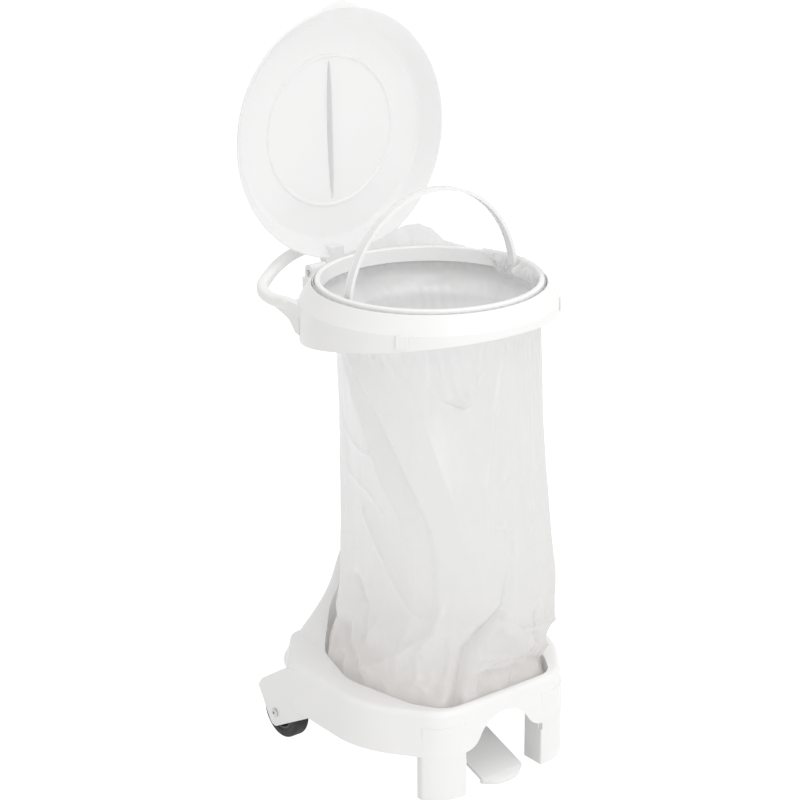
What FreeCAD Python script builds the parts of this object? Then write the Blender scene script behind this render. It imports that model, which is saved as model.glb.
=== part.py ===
import FreeCAD, Part
import math
import os
import Sketcher

# Pedal-operated bag holder on two wheels, lid open and pedal pressed, in millimetres.
# +Z is up, the pedal side faces -Y, and the ring's axis stands at x = 0, y = ring_y.

doc = FreeCAD.newDocument("pedal_bag_holder")
sheet = doc.addObject("Spreadsheet::Sheet", "sizes")


class Size:
    """A number together with the sheet expression that gives it."""

    def __init__(self, number, text):
        self.number = number
        self.text = text

    def __add__(self, other):
        other = as_size(other)
        return Size(self.number + other.number, "(%s + %s)" % (self.text, other.text))

    def __sub__(self, other):
        other = as_size(other)
        return Size(self.number - other.number, "(%s - %s)" % (self.text, other.text))

    def __mul__(self, other):
        other = as_size(other)
        return Size(self.number * other.number, "(%s * %s)" % (self.text, other.text))

    def __truediv__(self, other):
        other = as_size(other)
        return Size(self.number / other.number, "(%s / %s)" % (self.text, other.text))

    def __neg__(self):
        return Size(-self.number, "(0 - %s)" % self.text)


def as_size(value):
    if isinstance(value, Size):
        return value
    text = "%g" % value
    if value < 0:
        text = "(0 - %g)" % -value
    return Size(float(value), text)


def sine(angle):
    return Size(math.sin(math.radians(angle.number)), "sin(%s)" % angle.text)


def cosine(angle):
    return Size(math.cos(math.radians(angle.number)), "cos(%s)" % angle.text)


row = 0


def size(alias, number, note):
    """One driving dimension of the sheet."""
    global row
    row += 1
    sheet.set("A%d" % row, note)
    sheet.set("B%d" % row, "%g" % number)
    sheet.setAlias("B%d" % row, alias)
    return Size(float(number), "sizes.%s" % alias)


# Driving dimensions: where the whole part stands
ring_y = size("ring_y", -43.1, "ring axis along Y from the part's origin")

# Driving dimensions: base moulding
wall = size("wall", 4, "wall of the base moulding")
base_half = size("base_half", 232, "half width of the base")
base_front = size("base_front", 214, "front face ahead of the ring axis")
base_rear = size("base_rear", 236, "rear face behind the ring axis")
corner_x = size("corner_x", 136.5, "front corner, along the front")
corner_y = size("corner_y", 88, "front corner, along the side")
corner_round_a = size("corner_round_a", 80, "rounding where front meets corner")
corner_round_b = size("corner_round_b", 190, "rounding where corner meets side")
skirt_bottom = size("skirt_bottom", 85, "lower edge of the base skirt")
rim_top = size("rim_top", 170, "top of the tray rim")
rim_round = size("rim_round", 11, "rounding of the rim's outer edge")
skirt_draft = size("skirt_draft", 3, "draft of the base skirt")
tray_floor = size("tray_floor", 142, "top of the tray floor")
tray_front = size("tray_front", 197, "tray's front wall ahead of the ring axis")
tray_rear = size("tray_rear", 192, "tray's rear wall behind the ring axis")
leg_inner = size("leg_inner", 85.5, "inner face of each front leg")
leg_outer = size("leg_outer", 161, "outer corner of each front leg")
leg_back = size("leg_back", 167, "rear face of each front leg ahead of the ring axis")
arch_top = size("arch_top", 137.5, "crown of the pedal arch")
arch_round = size("arch_round", 63, "radius of the arch's crown")
well_half = size("well_half", 184, "inner side of each wheel well")
well_front = size("well_front", 110, "front of each wheel well")
well_top = size("well_top", 110, "top of each wheel well")
haunch_y = size("haunch_y", 138, "rear corner of the base, along the side")
haunch_x = size("haunch_x", 150, "rear corner of the base, along the rear")
haunch_round = size("haunch_round", 60, "rounding of the rear corner")
fender_half = size("fender_half", 229, "outer face of each wheel cover")
fender_wall = size("fender_wall", 6, "wall of each wheel cover")

# Driving dimensions: wheels
axle_y = size("axle_y", 169.5, "axle behind the ring axis")
axle_z = size("axle_z", 52, "axle above the floor")
axle_radius = size("axle_radius", 4, "radius of each axle bolt")
running_gap = size("running_gap", 0.05, "radial clearance of each running fit")
tyre_radius = size("tyre_radius", 52, "outer radius of the tyre")
tyre_width = size("tyre_width", 31, "width of the tyre")
hub_radius = size("hub_radius", 35, "outer radius of the hub")
hub_width = size("hub_width", 27, "width of the hub's rim")
wheel_centre = size("wheel_centre", 204, "middle plane of each wheel")

# Driving dimensions: post and ring
post_half = size("post_half", 29, "half width of the post")
post_front = size("post_front", 190, "front face of the post")
post_rear = size("post_rear", 225, "rear face of the post")
post_round = size("post_round", 16, "corner radius of the post")
post_wall = size("post_wall", 2.5, "wall of the post")
post_foot = size("post_foot", 286, "lower end of the post")
post_head = size("post_head", 790, "upper end of the post")
neck_top = size("neck_top", 345, "top of the base's neck")
seat_gap = size("seat_gap", 0.2, "clearance of each fixed seat")
ring_radius = size("ring_radius", 225, "outer radius of the support ring")
ring_crease = size("ring_crease", 847.5, "upper edge of the ring's skirt")
collar_radius = size("collar_radius", 203, "inner radius of the ring's collar")
collar_top = size("collar_top", 881, "top edge of the collar")
collar_foot = size("collar_foot", 846, "lower edge of the collar")
ring_wall = size("ring_wall", 3, "wall of the ring")
skirt_mid = size("skirt_mid", 795, "ring skirt's lower edge at the ring axis")
skirt_slope = size("skirt_slope", 9.75, "tilt of the ring skirt's lower edge in degrees")
socket_half = size("socket_half", 33, "half width of the post socket")
socket_front = size("socket_front", 187, "front face of the post socket")
socket_rear = size("socket_rear", 229, "rear face of the post socket")
socket_foot = size("socket_foot", 742, "lower end of the post socket")
socket_head = size("socket_head", 795, "top of the post socket")

# Driving dimensions: push handle
handle_low = size("handle_low", 834, "height of the arms")
handle_width = size("handle_width", 20, "width of the handle's section")
handle_depth = size("handle_depth", 22, "height of the handle's section")

# Driving dimensions: clamp ring, bail and clips
clamp_y = size("clamp_y", -1.5, "clamp ring's centre along Y from the ring axis")
clamp_inner = size("clamp_inner", 188, "inner radius of the clamp ring")
clamp_outer = size("clamp_outer", 197.75, "outer radius of the clamp ring's bead")
clamp_top = size("clamp_top", 884.5, "top of the clamp ring")
clamp_foot = size("clamp_foot", 858, "lower edge of the clamp ring")
clamp_wall = size("clamp_wall", 2.4, "wall of the clamp ring")
bail_y = size("bail_y", -10, "bail pivots along Y from the ring axis")
bail_z = size("bail_z", 865, "height of the bail pivots")
bail_drop = size("bail_drop", 6.5, "arc centre below the pivots")
bail_radius = size("bail_radius", 184, "outer radius of the bail")
bail_thick = size("bail_thick", 6.4, "radial thickness of the bail over its ribs")
bail_width = size("bail_width", 17, "width of the bail")
bail_pin = size("bail_pin", 3.5, "radius of the bail's pivot pins")
clip_angle = size("clip_angle", 49.5, "each clip's angle round from the front")
clip_width = size("clip_width", 22, "width of each clip")
clip_height = size("clip_height", 24, "height of each clip")
clip_z = size("clip_z", 836.5, "height of the clips' middle")

# Driving dimensions: lid and hinge
hinge_y = size("hinge_y", 238, "lid hinge behind the ring axis")
hinge_z = size("hinge_z", 852, "height of the lid hinge")
hinge_pin = size("hinge_pin", 4, "radius of the hinge pin")
lid_open = size("lid_open", 90.9, "angle that the lid stands open")
lid_radius = size("lid_radius", 224, "outer radius of the lid")
lid_lift = size("lid_lift", 1.6, "closed lid's lower edge above the hinge axis")
lid_inner = size("lid_inner", 221.6, "lid's inner radius at its lower edge")
lid_shoulder = size("lid_shoulder", 198.5, "radius where the lid's wall meets its top")
lid_depth = size("lid_depth", 38, "depth of the lid's underside")
lid_wall = size("lid_wall", 2.8, "wall of the lid")
lid_disc = size("lid_disc", 134.3, "radius of the bead round the lid's disc")
tab_half = size("tab_half", 46, "half width of the front tab")
tab_reach = size("tab_reach", 11, "how far the tab stands out from the rim")
fin_half = size("fin_half", 9, "half width of the grip fin")
fin_long = size("fin_long", 131, "half length of the grip fin")
fin_high = size("fin_high", 27, "height of the grip fin")
arm_inner = size("arm_inner", 29, "inner side of each lid arm")
arm_outer = size("arm_outer", 47, "outer side of each lid arm")
lug_inner = size("lug_inner", 50, "inner side of each ring lug")
lug_outer = size("lug_outer", 86, "outer side of each ring lug")
slot_half = size("slot_half", 16, "half width of the slot for the lid's lever")
rod_x = size("rod_x", -18, "push rod along X")
rod_y = size("rod_y", 214, "push rod behind the ring axis")
lever_reach = size("lever_reach", 28, "lid lever from hinge to nose")
nose_radius = size("nose_radius", 6, "radius of the lever's nose")
push_gap = size("push_gap", 1.1, "play between lever, rod and pedal")

# Driving dimensions: push rod and pedal
rod_radius = size("rod_radius", 4, "radius of the push rod")
pedal_angle = size("pedal_angle", 18.7, "angle of the pressed pedal")
pedal_y = size("pedal_y", 93, "pedal pivot behind the ring axis")
pedal_z = size("pedal_z", 112, "height of the pedal pivot")
pedal_reach = size("pedal_reach", 315.5, "pedal's front edge from its pivot")
pedal_half = size("pedal_half", 46, "half width of the pedal plate")
pedal_plate = size("pedal_plate", 104, "length of the full-width plate")
pedal_heel = size("pedal_heel", 124.5, "rod contact behind the pivot")
pedal_top = size("pedal_top", 3.7, "plate's top above the pivot")
pedal_thick = size("pedal_thick", 6.5, "thickness of the plate")
pedal_pin = size("pedal_pin", 4, "radius of the pedal's pivot pin")
nose_deep = size("nose_deep", 12.5, "depth of the pedal's nose")
nose_bow = size("nose_bow", 19, "how far the nose bows ahead of the plate")
heel_drop = size("heel_drop", 13, "heel's top below the pivot")
bracket_in = size("bracket_in", 26, "inner side of each pedal bracket")
bracket_out = size("bracket_out", 31, "outer side of each pedal bracket")

# Driving dimensions: bag
film = size("film", 1.6, "thickness given to the bag's film")
mouth_inner = size("mouth_inner", 198.05, "inner radius of the gathered film at the mouth")

# Tables of sizes: the flare's level sections, with height, half width, front, back, corner radius
flare_levels = [
    (100, 168, 62, 236, 36),
    (150, 163, 70, 236, 38),
    (173, 142, 105, 235.5, 42),
    (197, 116, 146, 234, 38),
    (230, 83, 170, 232, 28),
    (264, 63, 180, 230, 23),
    (300, 48, 184, 229, 20),
    (345, 34, 185, 229, 19),
]
flare_sizes = []
for number, level in enumerate(flare_levels):
    names = ("flare_z", "flare_half", "flare_front", "flare_back", "flare_round")
    notes = ("height", "half width", "front", "back", "corner radius")
    sizes_here = []
    for part_name, note, amount in zip(names, notes, level):
        sizes_here.append(size("%s_%d" % (part_name, number), amount,
                               "flare section %d: %s" % (number, note)))
    flare_sizes.append(sizes_here)

# Tray opening corners: across, along, rounding
tray_outline = [
    (118, -tray_front.number, 45),
    (153, -140, 70),
    (184, 5, 110),
    (150, 125, 110),
    (86, tray_rear.number, 40),
]
tray_sizes = []
for number, (x, y, bend) in enumerate(tray_outline):
    tray_sizes.append((size("tray_x_%d" % number, x, "tray corner %d, across" % number),
                       size("tray_y_%d" % number, y, "tray corner %d, along" % number),
                       size("tray_round_%d" % number, bend, "tray corner %d, rounding" % number)))

# Wheel cover and its roof, corners in side view: along, height, rounding
cover_outline = [(60, 85, None), (100, 164, 20), (139, 153.5, 60), (211, 105.5, 20), (224, 88.5, 7),
                 (180, 17.5, 16)]
cover_sizes = []
for number, (y, z, bend) in enumerate(cover_outline):
    here = (size("cover_y_%d" % number, y, "wheel cover corner %d, along" % number),
            size("cover_z_%d" % number, z, "wheel cover corner %d, height" % number))
    if bend:
        here = here + (size("cover_round_%d" % number, bend, "wheel cover corner %d, rounding" % number),)
    cover_sizes.append(here)
roof_outline = [(104, 164.6), (139, 153.5, 60), (211, 105.5, 20), (224, 88.5), (220, 84), (208, 100, 16),
                (137, 148, 60), (104, 157)]
roof_sizes = []
for number, corner in enumerate(roof_outline):
    here = (size("roof_y_%d" % number, corner[0], "wheel cover roof corner %d, along" % number),
            size("roof_z_%d" % number, corner[1], "wheel cover roof corner %d, height" % number))
    if len(corner) > 2:
        here = here + (size("roof_round_%d" % number, corner[2], "wheel cover roof %d, rounding" % number),)
    roof_sizes.append(here)

# The push handle's middle line, from the left arm's root to the rear bar's middle
handle_points = [
    (190, 136, 834, 0),
    (194, 174, 835, 0),
    (197, 207, 838, 4),
    (190, 231, 846, 32),
    (162, 251, 857, 57),
    (116, 273, 871, 69),
    (60, 289, 880, 80),
    (0, 294, 883, 90),
]
handle_sizes = []
for number, point in enumerate(handle_points):
    here = []
    for part_name, note, amount in zip(("handle_x", "handle_y", "handle_z", "handle_turn"),
                                       ("across", "along", "height", "turn in degrees"), point):
        here.append(size("%s_%d" % (part_name, number), amount, "handle station %d: %s" % (number, note)))
    handle_sizes.append(here)

# The bag's level ovals: height, centre across and along, half width and depth
bag_levels = [
    (142.3, 0, -6, 134, 158),
    (175, 0, -6, 150, 174),
    (215, 8, -12, 190, 180),
    (262, 14, -16, 200, 182),
    (420, 16, -18, 186, 180),
    (600, 10, -16, 178, 176),
    (745, 5, -14, 174, 174),
    (802, 2, -8, 186, 186),
    (842, 0, 0, 202.4, 202.4),
    (856, 0, 0, 202.4, 202.4),
    (872, 0, 0, 202.4, 202.4),
]
bag_sizes = []
for number, level in enumerate(bag_levels):
    names = ("bag_z", "bag_x", "bag_y", "bag_half", "bag_depth")
    notes = ("height", "centre across", "centre along", "half width", "half depth")
    here = []
    for part_name, note, amount in zip(names, notes, level):
        here.append(size("%s_%d" % (part_name, number), amount, "bag section %d: %s" % (number, note)))
    bag_sizes.append(here)
doc.recompute()


# Building steps shared by the pieces
def bind(thing, name, value):
    thing.setExpression(name, as_size(value).text)


def new_body(label, x=0.0, y=0.0, z=0.0):
    """A body whose own origin stands at x, y, z from the ring axis."""
    body = doc.addObject("PartDesign::Body", label)
    bind(body, ".Placement.Base.x", as_size(x))
    bind(body, ".Placement.Base.y", ring_y + y)
    bind(body, ".Placement.Base.z", as_size(z))
    return body


def sketch_on(body, label, plane, lift=None, shift=None, rise=None):
    drawing = body.newObject("Sketcher::SketchObject", label)
    support = next(part for part in body.Origin.OriginFeatures if part.Role == plane)
    drawing.AttachmentSupport = [(support, "")]
    drawing.MapMode = "FlatFace"
    if shift is not None:
        bind(drawing, ".AttachmentOffset.Base.x", shift)
    if rise is not None:
        bind(drawing, ".AttachmentOffset.Base.y", rise)
    if lift is not None:
        bind(drawing, ".AttachmentOffset.Base.z", lift)
    return drawing


def fix_point(drawing, geometry, position, x, y):
    """Holds one sketch point at two bound distances from the sketch's origin."""
    if abs(x.number) < 1e-9:
        drawing.addConstraint(Sketcher.Constraint("PointOnObject", geometry, position, -2))
    else:
        index = drawing.addConstraint(
            Sketcher.Constraint("DistanceX", -1, 1, geometry, position, x.number))
        drawing.setExpression("Constraints[%d]" % index, x.text)
    if abs(y.number) < 1e-9:
        drawing.addConstraint(Sketcher.Constraint("PointOnObject", geometry, position, -1))
    else:
        index = drawing.addConstraint(
            Sketcher.Constraint("DistanceY", -1, 1, geometry, position, y.number))
        drawing.setExpression("Constraints[%d]" % index, y.text)


def fix_radius(drawing, geometry, radius):
    index = drawing.addConstraint(Sketcher.Constraint("Radius", geometry, radius.number))
    drawing.setExpression("Constraints[%d]" % index, radius.text)


def vector(x, y):
    return FreeCAD.Vector(x, y, 0)


def outline(drawing, corners):
    """Closed outline: each corner is (x, y), with a third value for its rounding."""
    points = []
    for corner in corners:
        x = as_size(corner[0])
        y = as_size(corner[1])
        radius = as_size(corner[2]) if len(corner) > 2 else None
        points.append((x, y, radius))
    count = len(points)
    starts = []
    ends = []
    for index in range(count):
        here = vector(points[index][0].number, points[index][1].number)
        before = vector(points[index - 1][0].number, points[index - 1][1].number)
        after = vector(points[(index + 1) % count][0].number, points[(index + 1) % count][1].number)
        if points[index][2] is None:
            starts.append(here)
            ends.append(here)
            continue
        back = (before - here).normalize()
        ahead = (after - here).normalize()
        half = back.getAngle(ahead) / 2.0
        reach = points[index][2].number / math.tan(half)
        starts.append(here + back * reach)
        ends.append(here + ahead * reach)
    lines = []
    for index in range(count):
        line = Part.LineSegment(ends[index - 1], starts[index])
        lines.append(drawing.addGeometry(line, False))
    for index in range(count):
        x, y, radius = points[index]
        line_in = lines[index]
        line_out = lines[(index + 1) % count]
        if radius is None:
            drawing.addConstraint(Sketcher.Constraint("Coincident", line_in, 2, line_out, 1))
            fix_point(drawing, line_in, 2, x, y)
            continue
        here = vector(x.number, y.number)
        first = starts[index]
        last = ends[index]
        middle = (first + last) * 0.5
        reach = (first - here).Length
        span = (middle - here).Length
        away = (middle - here).normalize()
        centre = here + away * (math.hypot(reach, radius.number))
        turn = (first - here).cross(last - here).z
        if span <= 0:
            turn = 1
        angle_first = math.atan2(first.y - centre.y, first.x - centre.x)
        angle_last = math.atan2(last.y - centre.y, last.x - centre.x)
        circle = Part.Circle(centre, FreeCAD.Vector(0, 0, 1), radius.number)
        if turn < 0:
            arc = Part.ArcOfCircle(circle, angle_first, angle_last)
            ends_at = (1, 2)
        else:
            arc = Part.ArcOfCircle(circle, angle_last, angle_first)
            ends_at = (2, 1)
        bend = drawing.addGeometry(arc, False)
        drawing.addConstraint(Sketcher.Constraint("Tangent", line_in, 2, bend, ends_at[0]))
        drawing.addConstraint(Sketcher.Constraint("Tangent", bend, ends_at[1], line_out, 1))
        fix_radius(drawing, bend, radius)
        mark = drawing.addGeometry(Part.Point(here), True)
        fix_point(drawing, mark, 1, x, y)
        drawing.addConstraint(Sketcher.Constraint("PointOnObject", mark, 1, line_in))
        drawing.addConstraint(Sketcher.Constraint("PointOnObject", mark, 1, line_out))


def circle_at(drawing, x, y, radius):
    x = as_size(x)
    y = as_size(y)
    radius = as_size(radius)
    ring = drawing.addGeometry(
        Part.Circle(vector(x.number, y.number), FreeCAD.Vector(0, 0, 1), radius.number), False)
    fix_radius(drawing, ring, radius)
    fix_point(drawing, ring, 3, x, y)


def rounded_box(drawing, x_low, x_high, y_low, y_high, radius):
    outline(drawing, [(x_high, y_low, radius), (x_high, y_high, radius),
                      (x_low, y_high, radius), (x_low, y_low, radius)])


def extrude(body, kind, label, drawing, length, back=False, draft=None):
    feature = body.newObject(kind, label)
    feature.Profile = drawing
    feature.Type = "Length"
    bind(feature, "Length", length)
    feature.Reversed = back
    if draft is not None:
        bind(feature, "TaperAngle", draft)
    drawing.Visibility = False
    body.Tip = feature
    return feature


def pad(body, label, drawing, length, back=False, draft=None):
    return extrude(body, "PartDesign::Pad", label, drawing, length, back, draft)


def pocket(body, label, drawing, length, back=False, draft=None):
    return extrude(body, "PartDesign::Pocket", label, drawing, length, back, draft)


def spin(body, kind, label, drawing, axis):
    feature = body.newObject(kind, label)
    feature.Profile = drawing
    feature.ReferenceAxis = (drawing, [axis])
    feature.Angle = 360.0
    drawing.Visibility = False
    body.Tip = feature
    return feature


def loft(body, kind, label, drawings):
    feature = body.newObject(kind, label)
    feature.Profile = drawings[0]
    feature.Sections = drawings[1:]
    feature.Ruled = False
    body.Tip = feature
    return feature


def edges_where(feature, test):
    return ["Edge%d" % (index + 1) for index, edge in enumerate(feature.Shape.Edges) if test(edge)]


def soften(body, label, test, radius, kind="PartDesign::Fillet"):
    """Rounds or chamfers those edges of the body's last feature that the test picks."""
    doc.recompute()
    base = body.Tip
    feature = body.newObject(kind, label)
    feature.Base = (base, edges_where(base, test))
    bind(feature, "Radius" if kind.endswith("Fillet") else "Size", radius)
    body.Tip = feature
    return feature


# Base moulding: slab with a sunk tray, two legs, wheel covers and the flare that rises to a neck
base = new_body("base")
slab_sketch = sketch_on(base, "base_slab_outline", "XY_Plane", lift=skirt_bottom)
outline(slab_sketch, [
    (corner_x, -base_front, corner_round_a),
    (base_half, -corner_y, corner_round_b),
    (base_half, haunch_y, haunch_round),
    (haunch_x, base_rear, 34),
    (-haunch_x, base_rear, 34),
    (-base_half, haunch_y, haunch_round),
    (-base_half, -corner_y, corner_round_b),
    (-corner_x, -base_front, corner_round_a),
])
pad(base, "base_slab", slab_sketch, rim_top - skirt_bottom, draft=-skirt_draft)
soften(base, "base_rim_round", lambda e: e.BoundBox.ZMin > rim_top.number - 0.01, rim_round)

flare_sketches = []
for number, (level, half, front, back, bend) in enumerate(flare_sizes):
    section = sketch_on(base, "base_flare_section_%d" % number, "XY_Plane", lift=level)
    rounded_box(section, -half, half, front, back, bend)
    flare_sketches.append(section)
loft(base, "PartDesign::AdditiveLoft", "base_flare", flare_sketches)

def tray_corners(grow):
    """The tray's opening, both sides, made larger all round by the given amount."""
    shape = []
    for x, y, bend in tray_sizes:
        outward = grow if y.number > 150 else (-grow if y.number < -150 else as_size(0))
        shape.append((x + grow, y + outward, bend))
    other = [(-x, y, bend) for x, y, bend in reversed(shape)]
    return shape + other


tray_sketch = sketch_on(base, "base_tray_outline", "XY_Plane", lift=neck_top + 20)
outline(tray_sketch, tray_corners(as_size(0)))
pocket(base, "base_tray", tray_sketch, neck_top + 20 - tray_floor)

# Hollow underside: below the tray floor, then up into the rim round the tray
under_sketch = sketch_on(base, "base_underside_outline", "XY_Plane", lift=skirt_bottom)
hollow_corner = [
    (corner_x - 2, -(base_front - wall), corner_round_a - wall),
    (base_half - wall, -(corner_y - 1), corner_round_b - wall),
    (base_half - wall, well_front - wall),
    (well_half - wall, well_front - wall),
    (well_half - wall, haunch_y + 52),
    (haunch_x - 6, base_rear - wall, 26),
]
hollow_shape = hollow_corner + [(-corner[0],) + tuple(corner[1:]) for corner in reversed(hollow_corner)]
outline(under_sketch, hollow_shape)
pocket(base, "base_underside", under_sketch, tray_floor - wall - skirt_bottom, back=True, draft=-skirt_draft)

rim_sketch = sketch_on(base, "base_rim_hollow_outline", "XY_Plane", lift=tray_floor - wall - 1)
rim_in = wall * 2.4
rim_corner = [
    (corner_x - 5, -(base_front - rim_in), corner_round_a - rim_in),
    (base_half - rim_in, -(corner_y - 2), corner_round_b - rim_in),
    (base_half - rim_in, well_front - wall * 2),
    (well_half - rim_in, well_front - wall * 2),
    (well_half - rim_in, haunch_y + 50),
    (haunch_x - 8, base_rear - rim_in, 22),
]
outline(rim_sketch, rim_corner + [(-corner[0],) + tuple(corner[1:]) for corner in reversed(rim_corner)])
outline(rim_sketch, tray_corners(wall))
pocket(base, "base_rim_hollow", rim_sketch, rim_top - wall * 1.75 - (tray_floor - wall - 1), back=True)

# The flare is a shell: its inside runs up to the ledge that the post stands on
inner_sketches = []


def flare_cavity(drawing, half, rear, shoulder, narrow):
    """The cavity's section: flat in front, with slanting rear corners."""
    front = tray_rear + wall
    outline(drawing, [(half, front), (half, shoulder), (narrow, rear),
                      (-narrow, rear), (-half, shoulder), (-half, front)])


for number, (level, half, front, back, bend) in enumerate(flare_sizes[:-2]):
    section = sketch_on(base, "base_flare_inside_%d" % number, "XY_Plane", lift=level)
    flare_cavity(section, half - wall * 1.5, back - wall, tray_rear + 13, half - bend * 0.82)
    inner_sketches.append(section)
ledge_sketch = sketch_on(base, "base_flare_inside_top", "XY_Plane", lift=post_foot + 0.5)
flare_cavity(ledge_sketch, post_half - post_wall, post_rear - post_wall, tray_rear + 22, post_half - post_wall - 6.5)
inner_sketches.append(ledge_sketch)
loft(base, "PartDesign::SubtractiveLoft", "base_flare_inside", inner_sketches)

neck_sketch = sketch_on(base, "base_neck_outline", "XY_Plane", lift=neck_top + 5)
rounded_box(neck_sketch, -(post_half + seat_gap), post_half + seat_gap,
            post_front - seat_gap, post_rear + seat_gap, post_round + seat_gap)
pocket(base, "base_neck_socket", neck_sketch, neck_top + 5 - post_foot)

# Wheel wells at both rear corners, each with a cover plate, a roof and an inner ear
well_sketch = sketch_on(base, "base_well_outline", "XY_Plane", lift=well_top)
for side in (1, -1):
    outline(well_sketch, [(well_half * side, well_front), (base_half * 1.1 * side, well_front),
                          (base_half * 1.1 * side, base_rear * 1.1), (well_half * side, base_rear * 1.1)])
pocket(base, "base_wells", well_sketch, well_top - skirt_bottom + 5)

for side, name in ((1, "right"), (-1, "left")):
    cover_sketch = sketch_on(base, "base_cover_outline_%s" % name, "YZ_Plane", lift=fender_half * side)
    outline(cover_sketch, cover_sizes)
    pad(base, "base_cover_%s" % name, cover_sketch, fender_wall, back=(side > 0))
    roof_sketch = sketch_on(base, "base_roof_outline_%s" % name, "YZ_Plane", lift=fender_half * side)
    outline(roof_sketch, roof_sizes)
    pad(base, "base_roof_%s" % name, roof_sketch, fender_half - well_half + wall, back=(side > 0))
    ear_sketch = sketch_on(base, "base_ear_outline_%s" % name, "YZ_Plane", lift=well_half * side)
    outline(ear_sketch, [(well_front + 2, skirt_bottom + 10), (well_front + 2, skirt_bottom - 2, 10),
                         (axle_y - 22, axle_z - 24, 20), (axle_y + 22, axle_z - 24, 20),
                         (axle_y + 50, skirt_bottom - 2, 10), (axle_y + 50, skirt_bottom + 10)])
    pad(base, "base_ear_%s" % name, ear_sketch, wall, back=(side > 0))
haunch_sketch = sketch_on(base, "base_haunch_inside_outline", "XY_Plane", lift=well_top - 1)
for side in (1, -1):
    outline(haunch_sketch, [(well_half * side, well_front + wall), ((base_half - 9) * side, well_front + wall),
                            ((base_half - 9) * side, haunch_y - 6), (well_half * side, haunch_y + 34)])
pocket(base, "base_haunch_hollows", haunch_sketch, rim_top - wall * 2 - well_top, back=True)
bore_sketch = sketch_on(base, "base_axle_bore_outline", "YZ_Plane", lift=base_half * 1.1)
circle_at(bore_sketch, axle_y, axle_z, axle_radius + running_gap)
pocket(base, "base_axle_bores", bore_sketch, base_half * 2.2)

# Front legs, open below, and the bell-shaped arch that the pedal moves in
leg_sketch = sketch_on(base, "base_leg_outline", "XY_Plane")
leg_inside = sketch_on(base, "base_leg_inside_outline", "XY_Plane")
for side in (1, -1):
    outline(leg_sketch, [(leg_inner * side, -leg_back), (leg_inner * side, -(base_front - 1), 3),
                         ((corner_x - 1.5) * side, -(base_front - 1), corner_round_a - 4),
                         (leg_outer * side, -(leg_back + 13), 9), (leg_outer * side, -leg_back)])
    outline(leg_inside, [((leg_inner + wall) * side, -(leg_back + wall)),
                         ((leg_inner + wall) * side, -(base_front - 1 - wall)),
                         ((corner_x - 3.2) * side, -(base_front - 1 - wall), corner_round_a - 9),
                         ((leg_outer - wall) * side, -(leg_back + 12), 5),
                         ((leg_outer - wall) * side, -(leg_back + wall))])
pad(base, "base_legs", leg_sketch, tray_floor - wall / 2)
pocket(base, "base_leg_hollows", leg_inside, tray_floor - wall * 2, back=True)

arch_sketch = sketch_on(base, "base_arch_outline", "XZ_Plane", lift=base_front + 20)
crown = arch_top - arch_round
foot_rise = skirt_bottom - crown
foot_half = leg_inner + 2.5
foot_round = Size(
    (foot_half.number ** 2 + foot_rise.number ** 2 - arch_round.number ** 2)
    / (2 * (arch_round.number - foot_rise.number)),
    "((%s * %s + %s * %s - %s * %s) / (2 * (%s - %s)))" % (
        foot_half.text, foot_half.text, foot_rise.text, foot_rise.text,
        arch_round.text, arch_round.text, arch_round.text, foot_rise.text))
share = arch_round / (arch_round + foot_round)
turn_x = foot_half * share
turn_z = crown + (foot_rise + foot_round) * share


def arc_between(drawing, centre_x, centre_z, radius, first, last):
    """An arc that turns anticlockwise from first to last, held by its ends and radius."""
    begin = math.atan2(first[1].number - centre_z, first[0].number - centre_x)
    finish = math.atan2(last[1].number - centre_z, last[0].number - centre_x)
    circle = Part.Circle(vector(centre_x, centre_z), FreeCAD.Vector(0, 0, 1), radius.number)
    return drawing.addGeometry(Part.ArcOfCircle(circle, begin, finish), False)


foot_centre = skirt_bottom.number + foot_round.number
right_turn = (turn_x, turn_z)
left_turn = (-turn_x, turn_z)
right_foot = (foot_half, skirt_bottom)
left_foot = (-foot_half, skirt_bottom)
top_arc = arc_between(arch_sketch, 0.0, crown.number, arch_round, right_turn, left_turn)
left_arc = arc_between(arch_sketch, -foot_half.number, foot_centre, foot_round, left_foot, left_turn)
right_arc = arc_between(arch_sketch, foot_half.number, foot_centre, foot_round, right_turn, right_foot)
below = skirt_bottom - 15
corners = [left_foot, (-foot_half, below), (foot_half, below), right_foot]
sides = []
for first, last in zip(corners[:-1], corners[1:]):
    sides.append(arch_sketch.addGeometry(Part.LineSegment(
        vector(first[0].number, first[1].number), vector(last[0].number, last[1].number)), False))
joins = [(top_arc, 1, right_arc, 1), (top_arc, 2, left_arc, 2), (left_arc, 1, sides[0], 1),
         (sides[0], 2, sides[1], 1), (sides[1], 2, sides[2], 1), (sides[2], 2, right_arc, 2)]
for first, first_end, last, last_end in joins:
    arch_sketch.addConstraint(Sketcher.Constraint("Coincident", first, first_end, last, last_end))
fix_point(arch_sketch, top_arc, 1, *right_turn)
fix_point(arch_sketch, top_arc, 2, *left_turn)
fix_point(arch_sketch, left_arc, 1, *left_foot)
fix_point(arch_sketch, right_arc, 2, *right_foot)
fix_point(arch_sketch, sides[0], 2, -foot_half, below)
fix_point(arch_sketch, sides[1], 2, foot_half, below)
fix_radius(arch_sketch, top_arc, arch_round)
fix_radius(arch_sketch, left_arc, foot_round)
fix_radius(arch_sketch, right_arc, foot_round)
pocket(base, "base_arch", arch_sketch, wall * 2.6 + 20)

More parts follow.
